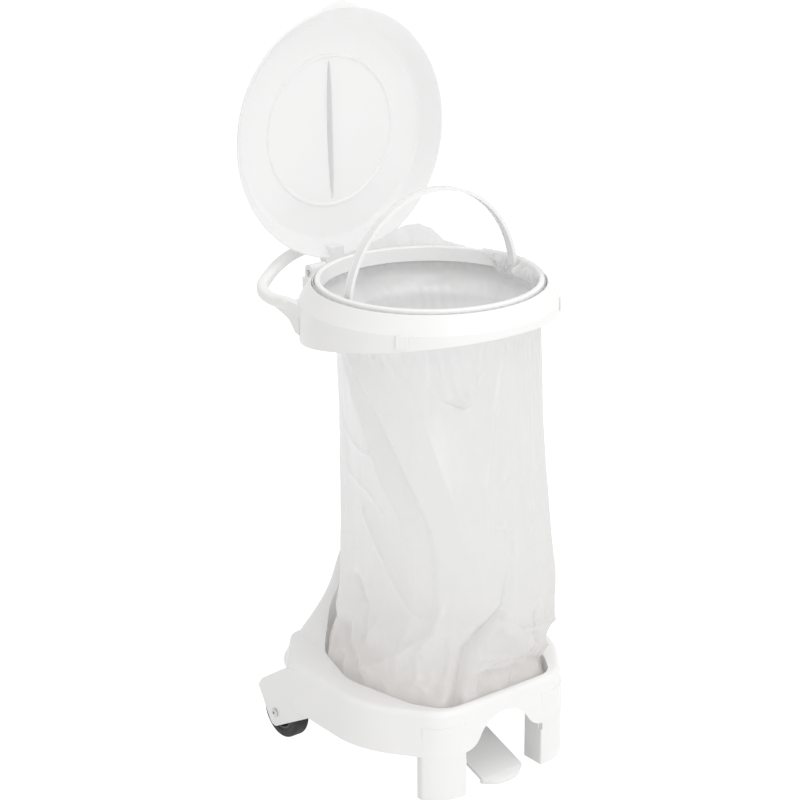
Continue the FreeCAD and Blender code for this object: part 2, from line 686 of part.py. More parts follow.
# Two brackets under the tray carry the pedal's pin
for side, name in ((1, "right"), (-1, "left")):
    bracket_sketch = sketch_on(base, "base_bracket_outline_%s" % name, "YZ_Plane", lift=bracket_out * side)
    outline(bracket_sketch, [(pedal_y - 16, tray_floor - 2), (pedal_y - 9, pedal_z - 10, 9),
                             (pedal_y + 9, pedal_z - 10, 9), (pedal_y + 16, tray_floor - 2)])
    circle_at(bracket_sketch, pedal_y, pedal_z, pedal_pin + running_gap)
    pad(base, "base_bracket_%s" % name, bracket_sketch, bracket_out - bracket_in, back=(side > 0))

# Post: oval tube between the base's neck and the ring's socket
post = new_body("post")
post_sketch = sketch_on(post, "post_section", "XY_Plane", lift=post_foot)
rounded_box(post_sketch, -post_half, post_half, post_front, post_rear, post_round)
rounded_box(post_sketch, -(post_half - post_wall), post_half - post_wall, post_front + post_wall,
            post_rear - post_wall, post_round - post_wall)
pad(post, "post_tube", post_sketch, post_head - post_foot)

# Support ring: sloped face, skirt that deepens to the back, collar, socket, lugs and push handle
ring = new_body("ring")
ring_sketch = sketch_on(ring, "ring_section", "XZ_Plane")
ring_low = skirt_mid - 60
outline(ring_sketch, [
    (ring_radius, ring_low),
    (ring_radius, ring_crease),
    (collar_radius, collar_top, 1.2),
    (collar_radius, collar_foot),
    (collar_radius + ring_wall, collar_foot),
    (collar_radius + ring_wall, collar_top - 7),
    (ring_radius - ring_wall, ring_crease - 1.6),
    (ring_radius - ring_wall, ring_low),
])
spin(ring, "PartDesign::Revolution", "ring_shell", ring_sketch, "V_Axis")

stations = [(-x, y, z, -turn) for x, y, z, turn in handle_sizes]
stations += [(x, y, z, turn - 180) for x, y, z, turn in reversed(handle_sizes[:-1])]
handle_sketches = []
for number, (x, y, z, turn) in enumerate(stations):
    section = sketch_on(ring, "ring_handle_section_%d" % number, "XZ_Plane")
    section.AttachmentOffset = FreeCAD.Placement(
        FreeCAD.Vector(x.number, z.number, -y.number), FreeCAD.Rotation(FreeCAD.Vector(0, 1, 0), turn.number))
    bind(section, ".AttachmentOffset.Base.x", x)
    bind(section, ".AttachmentOffset.Base.y", z)
    bind(section, ".AttachmentOffset.Base.z", -y)
    rounded_box(section, -handle_width / 2, handle_width / 2, -handle_depth / 2, handle_depth / 2,
                handle_width / 2 - 1.5)
    handle_sketches.append(section)
loft(ring, "PartDesign::AdditiveLoft", "ring_handle", handle_sketches)

# Root blocks where the arms grow out of the skirt, with a web below each arm
root_sketch = sketch_on(ring, "ring_root_outline", "XY_Plane", lift=handle_low - handle_depth / 2)
arm_middle = handle_sizes[0][0]
arm_start = handle_sizes[0][1]
for side in (1, -1):
    outline(root_sketch, [((arm_middle - 18) * side, arm_start - 8), ((arm_middle + 10) * side, arm_start - 40),
                          ((arm_middle + 10.5) * side, arm_start + 3), ((arm_middle - 9.5) * side, arm_start + 3)])
pad(ring, "ring_roots", root_sketch, handle_depth)
for side, name in ((1, "right"), (-1, "left")):
    web_sketch = sketch_on(ring, "ring_web_outline_%s" % name, "YZ_Plane", lift=(arm_middle + 5) * side)
    outline(web_sketch, [(arm_start - 22, handle_low - 46), (arm_start - 10, handle_low - 44),
                         (arm_start + 8, handle_low - 24, 25), (arm_start + 58, handle_low - 9),
                         (arm_start + 58, handle_low), (arm_start - 22, handle_low)])
    pad(ring, "ring_web_%s" % name, web_sketch, as_size(10), back=(side > 0))

# The ring's inside is cleared and the skirt's lower edge is cut on a tilt
inside_sketch = sketch_on(ring, "ring_inside_outline", "XZ_Plane")
outline(inside_sketch, [
    (0, ring_low - 20), (ring_radius - ring_wall, ring_low - 20), (ring_radius - ring_wall, ring_crease - 1.6),
    (collar_radius + ring_wall, collar_top - 7), (collar_radius + ring_wall, collar_foot),
    (collar_radius, collar_foot), (collar_radius, collar_top + 20), (0, collar_top + 20)])
spin(ring, "PartDesign::Groove", "ring_inside", inside_sketch, "V_Axis")
tilt_sketch = sketch_on(ring, "ring_tilt_outline", "YZ_Plane", lift=ring_radius * 1.1)
slope = Size(math.tan(math.radians(skirt_slope.number)), "tan(%s)" % skirt_slope.text)
reach = ring_radius * 1.3
outline(tilt_sketch, [(-reach, skirt_mid + slope * reach), (-reach, ring_low - 60),
                      (reach, ring_low - 60), (reach, skirt_mid - slope * reach)])
pocket(ring, "ring_tilt", tilt_sketch, ring_radius * 2.2)

# Socket for the post, open below and capped above
socket_sketch = sketch_on(ring, "ring_socket_outline", "XY_Plane", lift=socket_foot)
rounded_box(socket_sketch, -socket_half, socket_half, socket_front, socket_rear, 17)
pad(ring, "ring_socket", socket_sketch, socket_head - socket_foot)
post_seat = sketch_on(ring, "ring_post_seat_outline", "XY_Plane", lift=socket_foot)
rounded_box(post_seat, -(post_half + seat_gap), post_half + seat_gap, post_front - seat_gap,
            post_rear + seat_gap, post_round + seat_gap)
pocket(ring, "ring_post_seat", post_seat, post_head - socket_foot + seat_gap, back=True)

# Lugs that carry the hinge pin, and the small bumper blocks beside them
for side, name in ((1, "right"), (-1, "left")):
    lug_sketch = sketch_on(ring, "ring_lug_outline_%s" % name, "YZ_Plane", lift=lug_outer * side)
    outline(lug_sketch, [(ring_radius - 14, ring_crease - 24), (ring_radius - 14, ring_crease - 1.6),
                         (hinge_y - 13, ring_crease - 1.6), (hinge_y - 11, hinge_z + 14, 9),
                         (hinge_y + 10, hinge_z + 14, 9), (hinge_y + 10, hinge_z - 18, 8)])
    circle_at(lug_sketch, hinge_y, hinge_z, hinge_pin + running_gap)
    pad(ring, "ring_lug_%s" % name, lug_sketch, lug_outer - lug_inner, back=(side > 0))
bumper_sketch = sketch_on(ring, "ring_bumper_outline", "XY_Plane", lift=ring_crease - 25)
for side in (1, -1):
    outline(bumper_sketch, [((lug_outer - 1) * side, ring_radius - 19), ((lug_outer + 12) * side, ring_radius - 23),
                            ((lug_outer + 12) * side, hinge_y + 4, 3), ((lug_outer - 1) * side, hinge_y + 4, 3)])
pad(ring, "ring_bumpers", bumper_sketch, 23)

# Slot for the lid's lever and box, and the rod's guide hole
slot_sketch = sketch_on(ring, "ring_slot_outline", "XY_Plane", lift=collar_top + 20)
outline(slot_sketch, [(rod_x - slot_half, collar_radius + ring_wall + 0.8), (rod_x + slot_half, collar_radius + ring_wall + 0.8),
                      (rod_x + slot_half, hinge_y), (rod_x - slot_half, hinge_y)])
pocket(ring, "ring_slot", slot_sketch, collar_top + 20 - socket_head - 15)
notch_sketch = sketch_on(ring, "ring_notch_outline", "XY_Plane", lift=collar_top + 20)
outline(notch_sketch, [(rod_x - slot_half, collar_radius - 4), (rod_x + slot_half, collar_radius - 4),
                       (rod_x + slot_half, collar_radius + 6), (rod_x - slot_half, collar_radius + 6)])
pocket(ring, "ring_notch", notch_sketch, collar_top + 20 - (hinge_z - 8))
guide_sketch = sketch_on(ring, "ring_guide_outline", "XY_Plane", lift=socket_head + 20)
circle_at(guide_sketch, rod_x, rod_y, rod_radius + running_gap)
pocket(ring, "ring_guide", guide_sketch, 60)
for side, name in ((1, "right"), (-1, "left")):
    hole = ring.newObject("PartDesign::SubtractiveBox", "ring_clip_hole_%s" % name)
    bind(hole, "Length", clip_width / 2 + 1)
    bind(hole, "Width", as_size(20))
    bind(hole, "Height", clip_height / 2 + 1)
    turn = math.radians(clip_angle.number * side)
    across = FreeCAD.Vector(math.cos(turn), math.sin(turn), 0)
    outward = FreeCAD.Vector(math.sin(turn), -math.cos(turn), 0)
    corner = outward * (ring_radius.number + 10) - across * (clip_width.number / 4 + 0.5)
    corner.z = clip_z.number - clip_height.number / 4 - 0.5
    hole.Placement = FreeCAD.Placement(corner, FreeCAD.Rotation(FreeCAD.Vector(0, 0, 1), math.degrees(turn)))
    ring.Tip = hole

# Clips pressed into the ring's skirt
for side, name in ((1, "right"), (-1, "left")):
    clip = new_body("clip_%s" % name)
    turn = clip_angle * side
    bind(clip, ".Placement.Base.x", sine(turn) * (ring_radius + seat_gap))
    bind(clip, ".Placement.Base.y", ring_y - cosine(turn) * (ring_radius + seat_gap))
    bind(clip, ".Placement.Base.z", clip_z)
    bind(clip, ".Placement.Rotation.Angle", turn)
    face_sketch = sketch_on(clip, "clip_face_outline_%s" % name, "XZ_Plane")
    rounded_box(face_sketch, -clip_width / 2, clip_width / 2, -clip_height / 2, clip_height / 2, 3)
    pad(clip, "clip_face_%s" % name, face_sketch, as_size(3.2))
    soften(clip, "clip_edge_%s" % name, lambda e: e.BoundBox.YMax < -3.1, as_size(1.1))
    stem_sketch = sketch_on(clip, "clip_stem_outline_%s" % name, "XZ_Plane")
    rounded_box(stem_sketch, -clip_width / 4, clip_width / 4, -clip_height / 4, clip_height / 4, 1.5)
    pad(clip, "clip_stem_%s" % name, stem_sketch, as_size(7), back=True)

# Clamp ring: a wall with a rolled bead that wedges the bag's mouth in the collar
clamp = new_body("clamp_ring", 0, clamp_y, 0)
clamp_sketch = sketch_on(clamp, "clamp_section", "XZ_Plane")
outline(clamp_sketch, [
    (clamp_inner, clamp_foot), (clamp_inner + clamp_wall, clamp_foot),
    (clamp_inner + clamp_wall, clamp_top - clamp_wall - 1), (clamp_outer - clamp_wall * 0.8, clamp_top - clamp_wall - 1),
    (clamp_outer - clamp_wall * 0.8, clamp_top - 12), (clamp_outer, clamp_top - 12),
    (clamp_outer, clamp_top, 3.4), (clamp_inner, clamp_top, 2.6)])
spin(clamp, "PartDesign::Revolution", "clamp_shell", clamp_sketch, "V_Axis")
pivot_sketch = sketch_on(clamp, "clamp_pivot_outline", "YZ_Plane", lift=clamp_outer * 1.2)
circle_at(pivot_sketch, bail_y - clamp_y, bail_z, bail_pin + running_gap)
pocket(clamp, "clamp_pivots", pivot_sketch, clamp_outer * 2.4)

# Bail: a ribbed band bent to an arc, with a pin at each foot
bail = new_body("bail", 0, bail_y, bail_z)
band_sketch = sketch_on(bail, "bail_band_outline", "XZ_Plane", lift=-bail_width / 2)
inner_radius = bail_radius - bail_thick
foot_end = as_size(-7)


def arch_band(drawing, outer, inner, foot):
    """A band between two arcs that share a centre below the pivots, closed at both feet."""
    centre = -bail_drop.number
    ends_out = math.sqrt(outer.number ** 2 - (foot.number - centre) ** 2)
    ends_in = math.sqrt(inner.number ** 2 - (foot.number - centre) ** 2)
    big = Part.Circle(vector(0, centre), FreeCAD.Vector(0, 0, 1), outer.number)
    small = Part.Circle(vector(0, centre), FreeCAD.Vector(0, 0, 1), inner.number)
    low_out = math.atan2(foot.number - centre, ends_out)
    low_in = math.atan2(foot.number - centre, ends_in)
    outer_arc = drawing.addGeometry(Part.ArcOfCircle(big, low_out, math.pi - low_out), False)
    inner_arc = drawing.addGeometry(Part.ArcOfCircle(small, low_in, math.pi - low_in), False)
    left = drawing.addGeometry(Part.LineSegment(vector(-ends_out, foot.number), vector(-ends_in, foot.number)), False)
    right = drawing.addGeometry(Part.LineSegment(vector(ends_in, foot.number), vector(ends_out, foot.number)), False)
    for first, first_end, last, last_end in ((outer_arc, 2, left, 1), (left, 2, inner_arc, 2),
                                             (inner_arc, 1, right, 1), (right, 2, outer_arc, 1)):
        drawing.addConstraint(Sketcher.Constraint("Coincident", first, first_end, last, last_end))
    fix_point(drawing, outer_arc, 3, as_size(0), -bail_drop)
    drawing.addConstraint(Sketcher.Constraint("Coincident", outer_arc, 3, inner_arc, 3))
    fix_radius(drawing, outer_arc, outer)
    fix_radius(drawing, inner_arc, inner)
    drawing.addConstraint(Sketcher.Constraint("Horizontal", left))
    drawing.addConstraint(Sketcher.Constraint("Horizontal", right))
    for line, end in ((left, 1), (right, 2)):
        index = drawing.addConstraint(Sketcher.Constraint("DistanceY", -1, 1, line, end, foot.number))
        drawing.setExpression("Constraints[%d]" % index, foot.text)


arch_band(band_sketch, bail_radius, inner_radius, foot_end)
pad(bail, "bail_band", band_sketch, bail_width)
for side, name in ((1, "front"), (-1, "rear")):
    groove_sketch = sketch_on(bail, "bail_groove_outline_%s" % name, "XZ_Plane", lift=-(bail_width / 2 - 2.4))
    if side > 0:
        arch_band(groove_sketch, bail_radius + 5, bail_radius - 2.2, as_size(6))
    else:
        arch_band(groove_sketch, inner_radius + 1.8, inner_radius - 5, as_size(6))
    pocket(bail, "bail_groove_%s" % name, groove_sketch, bail_width - 4.8, back=True)
pin_sketch = sketch_on(bail, "bail_pin_outline", "YZ_Plane", lift=bail_radius + 4.5)
circle_at(pin_sketch, 0, 0, bail_pin)
pad(bail, "bail_pin_right", pin_sketch, bail_thick + 5, back=True)
pin_left = sketch_on(bail, "bail_pin_left_outline", "YZ_Plane", lift=-(bail_radius + 4.5))
circle_at(pin_left, 0, 0, bail_pin)
pad(bail, "bail_pin_left", pin_left, bail_thick + 5)

# Lid: thin shell with a sloped wall, a beaded disc, a hollow grip fin, a tab and hinge arms
lid = new_body("lid", 0, hinge_y, hinge_z)
bind(lid, ".Placement.Rotation.Angle", -lid_open)
lid.Placement = FreeCAD.Placement(lid.Placement.Base, FreeCAD.Rotation(FreeCAD.Vector(1, 0, 0), -lid_open.number))
lid_sketch = sketch_on(lid, "lid_outside_section", "YZ_Plane", shift=-hinge_y)
outline(lid_sketch, [
    (0, lid_lift), (lid_radius, lid_lift), (lid_radius, lid_lift + 3.2),
    (lid_shoulder + lid_wall * 0.9, lid_lift + lid_depth - 1.2, 9),
    (lid_shoulder - 7, lid_lift + lid_depth + lid_wall - 0.2), (lid_disc + 4, lid_lift + lid_depth + lid_wall + 0.8), (lid_disc, lid_lift + lid_depth + lid_wall - 1.8),
    (lid_disc - 4, lid_lift + lid_depth + lid_wall + 0.8), (0, lid_lift + lid_depth + lid_wall + 3)])
spin(lid, "PartDesign::Revolution", "lid_outside", lid_sketch, "V_Axis")
tab_sketch = sketch_on(lid, "lid_tab_outline", "XY_Plane", lift=lid_lift, rise=-hinge_y)
outline(tab_sketch, [(-tab_half, -lid_radius + 22), (-tab_half, -lid_radius + 5.2),
                     (-12, -(lid_radius + tab_reach), 30), (12, -(lid_radius + tab_reach), 30),
                     (tab_half, -lid_radius + 5.2), (tab_half, -lid_radius + 22)])
pad(lid, "lid_tab", tab_sketch, lid_wall + 0.6)
fin = lid.newObject("PartDesign::AdditiveEllipsoid", "lid_fin")
bind(fin, "Radius1", fin_high)
bind(fin, "Radius2", fin_half)
bind(fin, "Radius3", fin_long)
fin_level = lid_lift.number + lid_depth.number + lid_wall.number
fin.Placement = FreeCAD.Placement(FreeCAD.Vector(0, -hinge_y.number, fin_level), FreeCAD.Rotation())
lid.Tip = fin
for side, name in ((1, "right"), (-1, "left")):
    arm_sketch = sketch_on(lid, "lid_arm_outline_%s" % name, "YZ_Plane", lift=arm_outer * side)
    outline(arm_sketch, [(11, -11, 10.5), (11, 11, 10.5), (-12, 17), (-50, 30), (-50, lid_lift + 0.5),
                         (-16, lid_lift + 0.5, 3), (-11, -11, 6)])
    pad(lid, "lid_arm_%s" % name, arm_sketch, arm_outer - arm_inner, back=(side > 0))
cavity_sketch = sketch_on(lid, "lid_inside_section", "YZ_Plane", shift=-hinge_y)
outline(cavity_sketch, [
    (0, lid_lift - 3), (lid_inner, lid_lift - 3), (lid_inner, lid_lift + 0.4),
    (lid_shoulder, lid_lift + lid_depth - 5, 4), (lid_shoulder - 6, lid_lift + lid_depth - 1, 5),
    (lid_disc + 3.5, lid_lift + lid_depth + 0.8), (lid_disc + 1.5, lid_lift + lid_depth - 2.4),
    (lid_disc - 1.5, lid_lift + lid_depth - 2.4), (lid_disc - 3.5, lid_lift + lid_depth + 0.8),
    (0, lid_lift + lid_depth + 3)])
spin(lid, "PartDesign::Groove", "lid_inside", cavity_sketch, "V_Axis")
fin_hollow = lid.newObject("PartDesign::SubtractiveEllipsoid", "lid_fin_hollow")
bind(fin_hollow, "Radius1", fin_high - lid_wall)
bind(fin_hollow, "Radius2", fin_half - lid_wall)
bind(fin_hollow, "Radius3", fin_long - lid_wall * 2)
fin_hollow.Placement = FreeCAD.Placement(FreeCAD.Vector(0, -hinge_y.number, fin_level), FreeCAD.Rotation())
lid.Tip = fin_hollow
box_sketch = sketch_on(lid, "lid_box_outline", "YZ_Plane", lift=rod_x + slot_half - 3)
outline(box_sketch, [(-12, lid_lift + 0.3), (-12, 12), (-22, 30), (-35.5, 30), (-35.5, lid_lift + 0.3)])
pad(lid, "lid_box", box_sketch, (slot_half - 3) * 2, back=True)
lever_sketch = sketch_on(lid, "lid_lever_outline", "YZ_Plane", lift=rod_x + 6)
half_swing = lid_open / 2
nose_y = -cosine(half_swing) * lever_reach
nose_z = -sine(half_swing) * lever_reach
outline(lever_sketch, [(2, -8.4), (nose_y + nose_radius, nose_z + 2.2), (nose_y + nose_radius, nose_z - nose_radius, 5.9),
                       (nose_y - nose_radius, nose_z - nose_radius, 5.9), (nose_y - nose_radius, nose_z + 5.8),
                       (-4, 8.2)])
pad(lid, "lid_lever", lever_sketch, as_size(12), back=True)
hub_sketch = sketch_on(lid, "lid_hub_outline", "YZ_Plane", lift=-arm_inner - 2)
circle_at(hub_sketch, 0, 0, hinge_pin + 4.6)
pad(lid, "lid_hub", hub_sketch, arm_inner + 2 + rod_x + slot_half - 3)
hub_bore = sketch_on(lid, "lid_bore_outline", "YZ_Plane", lift=arm_outer * 1.2)
circle_at(hub_bore, 0, 0, hinge_pin + running_gap)
pocket(lid, "lid_bore", hub_bore, arm_outer * 2.4)

# Hinge pin through lugs, arms and lever
pin = new_body("hinge_pin", 0, hinge_y, hinge_z)
hinge_sketch = sketch_on(pin, "hinge_pin_section", "YZ_Plane", lift=-(lug_outer + 3))
circle_at(hinge_sketch, 0, 0, hinge_pin)
pad(pin, "hinge_pin_shaft", hinge_sketch, (lug_outer + 3) * 2)
soften(pin, "hinge_pin_ends", lambda e: True, as_size(0.8), "PartDesign::Chamfer")

# Push rod with a flat head under the lever's nose
nose_rest = hinge_z + sine(half_swing) * lever_reach - nose_radius - push_gap
heel_rest_z = pedal_z + sine(pedal_angle) * pedal_heel - cosine(pedal_angle) * heel_drop + push_gap * 2
rod = new_body("push_rod", rod_x, rod_y, 0)
rod_sketch = sketch_on(rod, "push_rod_section", "XY_Plane", lift=heel_rest_z)
circle_at(rod_sketch, 0, 0, rod_radius)
pad(rod, "push_rod_shaft", rod_sketch, nose_rest - heel_rest_z - 1)
head_sketch = sketch_on(rod, "push_rod_head_outline", "XY_Plane", lift=nose_rest - 5)
rounded_box(head_sketch, as_size(-5.5), as_size(5.5), as_size(-6), as_size(5), 2)
pad(rod, "push_rod_head", head_sketch, as_size(5))

# Pedal: ribbed plate with a bowed nose, an arm to the pivot and a cranked heel
pedal = new_body("pedal", 0, pedal_y, pedal_z)
pedal.Placement = FreeCAD.Placement(pedal.Placement.Base, FreeCAD.Rotation(FreeCAD.Vector(1, 0, 0), pedal_angle.number))
bind(pedal, ".Placement.Rotation.Angle", pedal_angle)
plate_sketch = sketch_on(pedal, "pedal_plate_outline", "XY_Plane", lift=pedal_top - pedal_thick)
outline(plate_sketch, [(pedal_half, -pedal_reach, 2), (pedal_half, -(pedal_reach - pedal_plate), 25),
                       (24, -(pedal_reach - pedal_plate - 60), 40), (24, 6), (-24, 6),
                       (-24, -(pedal_reach - pedal_plate - 60), 40),
                       (-pedal_half, -(pedal_reach - pedal_plate), 25), (-pedal_half, -pedal_reach, 2)])
pad(pedal, "pedal_plate_body", plate_sketch, pedal_thick)
nose_sketch = sketch_on(pedal, "pedal_nose_outline", "XY_Plane", lift=pedal_top - nose_deep)
outline(nose_sketch, [(pedal_half - 1, -(pedal_reach - 5)), (-(pedal_half - 1), -(pedal_reach - 5)),
                      (-(pedal_half - 1), -(pedal_reach + 2), 5), (-22, -(pedal_reach + nose_bow), 45),
                      (22, -(pedal_reach + nose_bow), 45), (pedal_half - 1, -(pedal_reach + 2), 5)])
pad(pedal, "pedal_nose", nose_sketch, nose_deep - 0.3)
nose_cut = sketch_on(pedal, "pedal_nose_cut_outline", "YZ_Plane", lift=pedal_half * 1.2)
outline(nose_cut, [(-(pedal_reach + 0.5), pedal_top + 3), (-(pedal_reach + 0.5), pedal_top - 0.35),
                   (-(pedal_reach + 12), pedal_top - 1.6, 20), (-(pedal_reach + 26), pedal_top - 6.4),
                   (-(pedal_reach + 26), pedal_top + 3)])
pocket(pedal, "pedal_nose_slope", nose_cut, pedal_half * 2.4)
nose_under = sketch_on(pedal, "pedal_nose_under_outline", "YZ_Plane", lift=pedal_half * 1.2)
outline(nose_under, [(-pedal_reach, pedal_top - nose_deep - 3), (-pedal_reach, pedal_top - nose_deep + 0.2),
                     (-(pedal_reach + 26), pedal_top - nose_deep + 6.6),
                     (-(pedal_reach + 26), pedal_top - nose_deep - 3)])
pocket(pedal, "pedal_nose_underside", nose_under, pedal_half * 2.4)
arm_side = sketch_on(pedal, "pedal_arm_side", "YZ_Plane", lift=22)
outline(arm_side, [(-(pedal_reach - pedal_plate) + 10, pedal_top - pedal_thick + 0.5),
                   (-(pedal_reach - pedal_plate) + 10, -10, 6), (-14, -10), (8, -19, 10), (30, -21.5, 10),
                   (pedal_heel + 5, -21.5, 3), (pedal_heel + 5, -heel_drop, 3), (24, -heel_drop, 12),
                   (6, 8, 6), (-10, 8, 6), (-14, pedal_top - 0.5)])
pad(pedal, "pedal_arm", arm_side, as_size(44), back=True)
hollow_side = sketch_on(pedal, "pedal_arm_hollow_outline", "YZ_Plane", lift=18)
outline(hollow_side, [(-(pedal_reach - pedal_plate) + 5, pedal_top - pedal_thick),
                      (-(pedal_reach - pedal_plate) + 5, -30), (-16, -30), (-16, pedal_top - pedal_thick)])
pocket(pedal, "pedal_arm_hollow", hollow_side, as_size(36))
pivot_hole = sketch_on(pedal, "pedal_bore_outline", "YZ_Plane", lift=pedal_half * 1.2)
circle_at(pivot_hole, 0, 0, pedal_pin + running_gap)
pocket(pedal, "pedal_bore", pivot_hole, pedal_half * 2.4)

pedal_shaft = new_body("pedal_pin", 0, pedal_y, pedal_z)
shaft_sketch = sketch_on(pedal_shaft, "pedal_pin_section", "YZ_Plane", lift=-(bracket_out + 2))
circle_at(shaft_sketch, 0, 0, pedal_pin)
pad(pedal_shaft, "pedal_pin_shaft", shaft_sketch, (bracket_out + 2) * 2)
soften(pedal_shaft, "pedal_pin_ends", lambda e: True, as_size(0.8), "PartDesign::Chamfer")

# Wheels: plastic hubs with rubber tyres, on bolts through the wheel covers
for side, name in ((1, "right"), (-1, "left")):
    hub = new_body("hub_%s" % name, wheel_centre * side, axle_y, axle_z)
    hub_sketch = sketch_on(hub, "hub_section_%s" % name, "XZ_Plane")
    half_width = hub_width / 2
    outline(hub_sketch, [
        (-half_width - 1.5, axle_radius + running_gap), (half_width + 1.5, axle_radius + running_gap),
        (half_width + 1.5, 11), (half_width - 8, 13), (half_width - 8, hub_radius - 6), (half_width, hub_radius - 4),
        (half_width, hub_radius), (-half_width, hub_radius), (-half_width, hub_radius - 4),
        (-half_width + 8, hub_radius - 6), (-half_width + 8, 13), (-half_width - 1.5, 11)])
    spin(hub, "PartDesign::Revolution", "hub_body_%s" % name, hub_sketch, "H_Axis")
    tyre = new_body("tyre_%s" % name, wheel_centre * side, axle_y, axle_z)
    tyre_sketch = sketch_on(tyre, "tyre_section_%s" % name, "XZ_Plane")
    half_tyre = tyre_width / 2
    outline(tyre_sketch, [(-half_width + 0.2, hub_radius + 0.1), (half_width - 0.2, hub_radius + 0.1),
                          (half_tyre, hub_radius + 3.5, 1.5), (half_tyre, tyre_radius, 6),
                          (-half_tyre, tyre_radius, 6), (-half_tyre, hub_radius + 3.5, 1.5)])
    spin(tyre, "PartDesign::Revolution", "tyre_body_%s" % name, tyre_sketch, "H_Axis")
    bolt = new_body("axle_bolt_%s" % name, as_size(0), axle_y, axle_z)
    bolt_sketch = sketch_on(bolt, "axle_bolt_section_%s" % name, "XZ_Plane")
    tip = well_half - wall - 10
    outline(bolt_sketch, [(tip * side, 0), (tip * side, axle_radius), ((fender_half + seat_gap) * side, axle_radius),
                          ((fender_half + seat_gap) * side, 8), ((fender_half + 2.2) * side, 8),
                          ((fender_half + 4.4) * side, 5.6), ((fender_half + 4.4) * side, 0)])
    spin(bolt, "PartDesign::Revolution", "axle_bolt_body_%s" % name, bolt_sketch, "H_Axis")
    drive_sketch = sketch_on(bolt, "axle_bolt_drive_%s" % name, "YZ_Plane", lift=(fender_half + 5) * side)
    outline(drive_sketch, [(3 * math.cos(math.radians(60 * k)), 3 * math.sin(math.radians(60 * k)) + 1e-4)
                           for k in range(6)])
    pocket(bolt, "axle_bolt_socket_%s" % name, drive_sketch, as_size(3), back=(side < 0))
    nut = new_body("axle_nut_%s" % name, as_size(0), axle_y, axle_z)
    nut_sketch = sketch_on(nut, "axle_nut_outline_%s" % name, "YZ_Plane", lift=(well_half - wall - seat_gap) * side)
    outline(nut_sketch, [(7.5 * math.cos(math.radians(60 * k)), 7.5 * math.sin(math.radians(60 * k)) + 1e-4)
                         for k in range(6)])
    circle_at(nut_sketch, 0, 0, axle_radius + running_gap)
    pad(nut, "axle_nut_body_%s" % name, nut_sketch, as_size(6.5), back=(side > 0))

# Bag: thin closed film, open at its mouth, held between collar and clamp ring
bag = new_body("bag")
def bag_sections(label, inside):
    """The bag's level ovals, drawn smaller by the film's thickness for its inside."""
    drawings = []
    for number, (level, x, y, half, depth) in enumerate(bag_sizes):
        mouth = number >= len(bag_sizes) - 3
        lift = level
        a = half
        b = depth
        if inside:
            lift = level + film if number == 0 else level
            a = mouth_inner if mouth else half - film
            b = mouth_inner if mouth else depth - film
            y = clamp_y if mouth else y
        section = sketch_on(bag, "%s_%d" % (label, number), "XY_Plane", lift=lift)
        bend = a if a.number < b.number else b
        rounded_box(section, x - a, x + a, y - b, y + b, bend * (0.998 if mouth else 0.94))
        drawings.append(section)
    return drawings


loft(bag, "PartDesign::AdditiveLoft", "bag_outside", bag_sections("bag_outer_section", False))
loft(bag, "PartDesign::SubtractiveLoft", "bag_inside", bag_sections("bag_inner_section", True))

doc.recompute()

# Every object is checked, then each piece is written as its own file
for thing in doc.Objects:
    if "Invalid" in thing.State or "Error" in thing.State:
        raise RuntimeError("%s is not valid: %s" % (thing.Name, thing.State))

pieces = ["base", "post", "ring", "clip_left", "clip_right", "clamp_ring", "bail", "lid", "hinge_pin",
          "push_rod", "pedal", "pedal_pin", "hub_left", "hub_right", "tyre_left", "tyre_right",
          "axle_bolt_left", "axle_bolt_right", "axle_nut_left", "axle_nut_right", "bag"]
os.makedirs("parts", exist_ok=True)
for name in pieces:
    piece = doc.getObject(name)
    shape = piece.Shape
    if shape.isNull() or not shape.isValid():
        raise RuntimeError("%s has no valid shape" % name)
    box = shape.optimalBoundingBox(False, False)
    print("%-16s solids %d volume %.0f x %.1f..%.1f y %.1f..%.1f z %.1f..%.1f" % (
        name, len(shape.Solids), shape.Volume, box.XMin, box.XMax, box.YMin, box.YMax, box.ZMin, box.ZMax))
    shape.exportStep("parts/%s.step" % name)
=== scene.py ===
import math

import bmesh
import bpy
from mathutils import Matrix, Vector, noise
from mathutils.bvhtree import BVHTree


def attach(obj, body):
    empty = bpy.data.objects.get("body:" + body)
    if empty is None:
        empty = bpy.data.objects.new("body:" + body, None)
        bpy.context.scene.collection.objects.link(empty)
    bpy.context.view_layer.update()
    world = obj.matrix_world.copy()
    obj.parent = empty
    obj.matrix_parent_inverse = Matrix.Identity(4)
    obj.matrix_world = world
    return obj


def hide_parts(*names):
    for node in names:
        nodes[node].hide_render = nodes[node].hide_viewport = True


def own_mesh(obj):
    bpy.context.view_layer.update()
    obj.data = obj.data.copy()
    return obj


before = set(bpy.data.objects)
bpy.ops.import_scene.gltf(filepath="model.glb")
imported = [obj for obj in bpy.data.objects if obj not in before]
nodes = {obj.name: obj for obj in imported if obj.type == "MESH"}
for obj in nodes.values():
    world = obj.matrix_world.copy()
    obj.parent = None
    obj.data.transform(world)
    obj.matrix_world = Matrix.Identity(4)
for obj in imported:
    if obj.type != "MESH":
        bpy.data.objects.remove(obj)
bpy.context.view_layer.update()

# The ring's axis stands this far along Y from the part's origin, in metres.
RING_Y = -0.0431

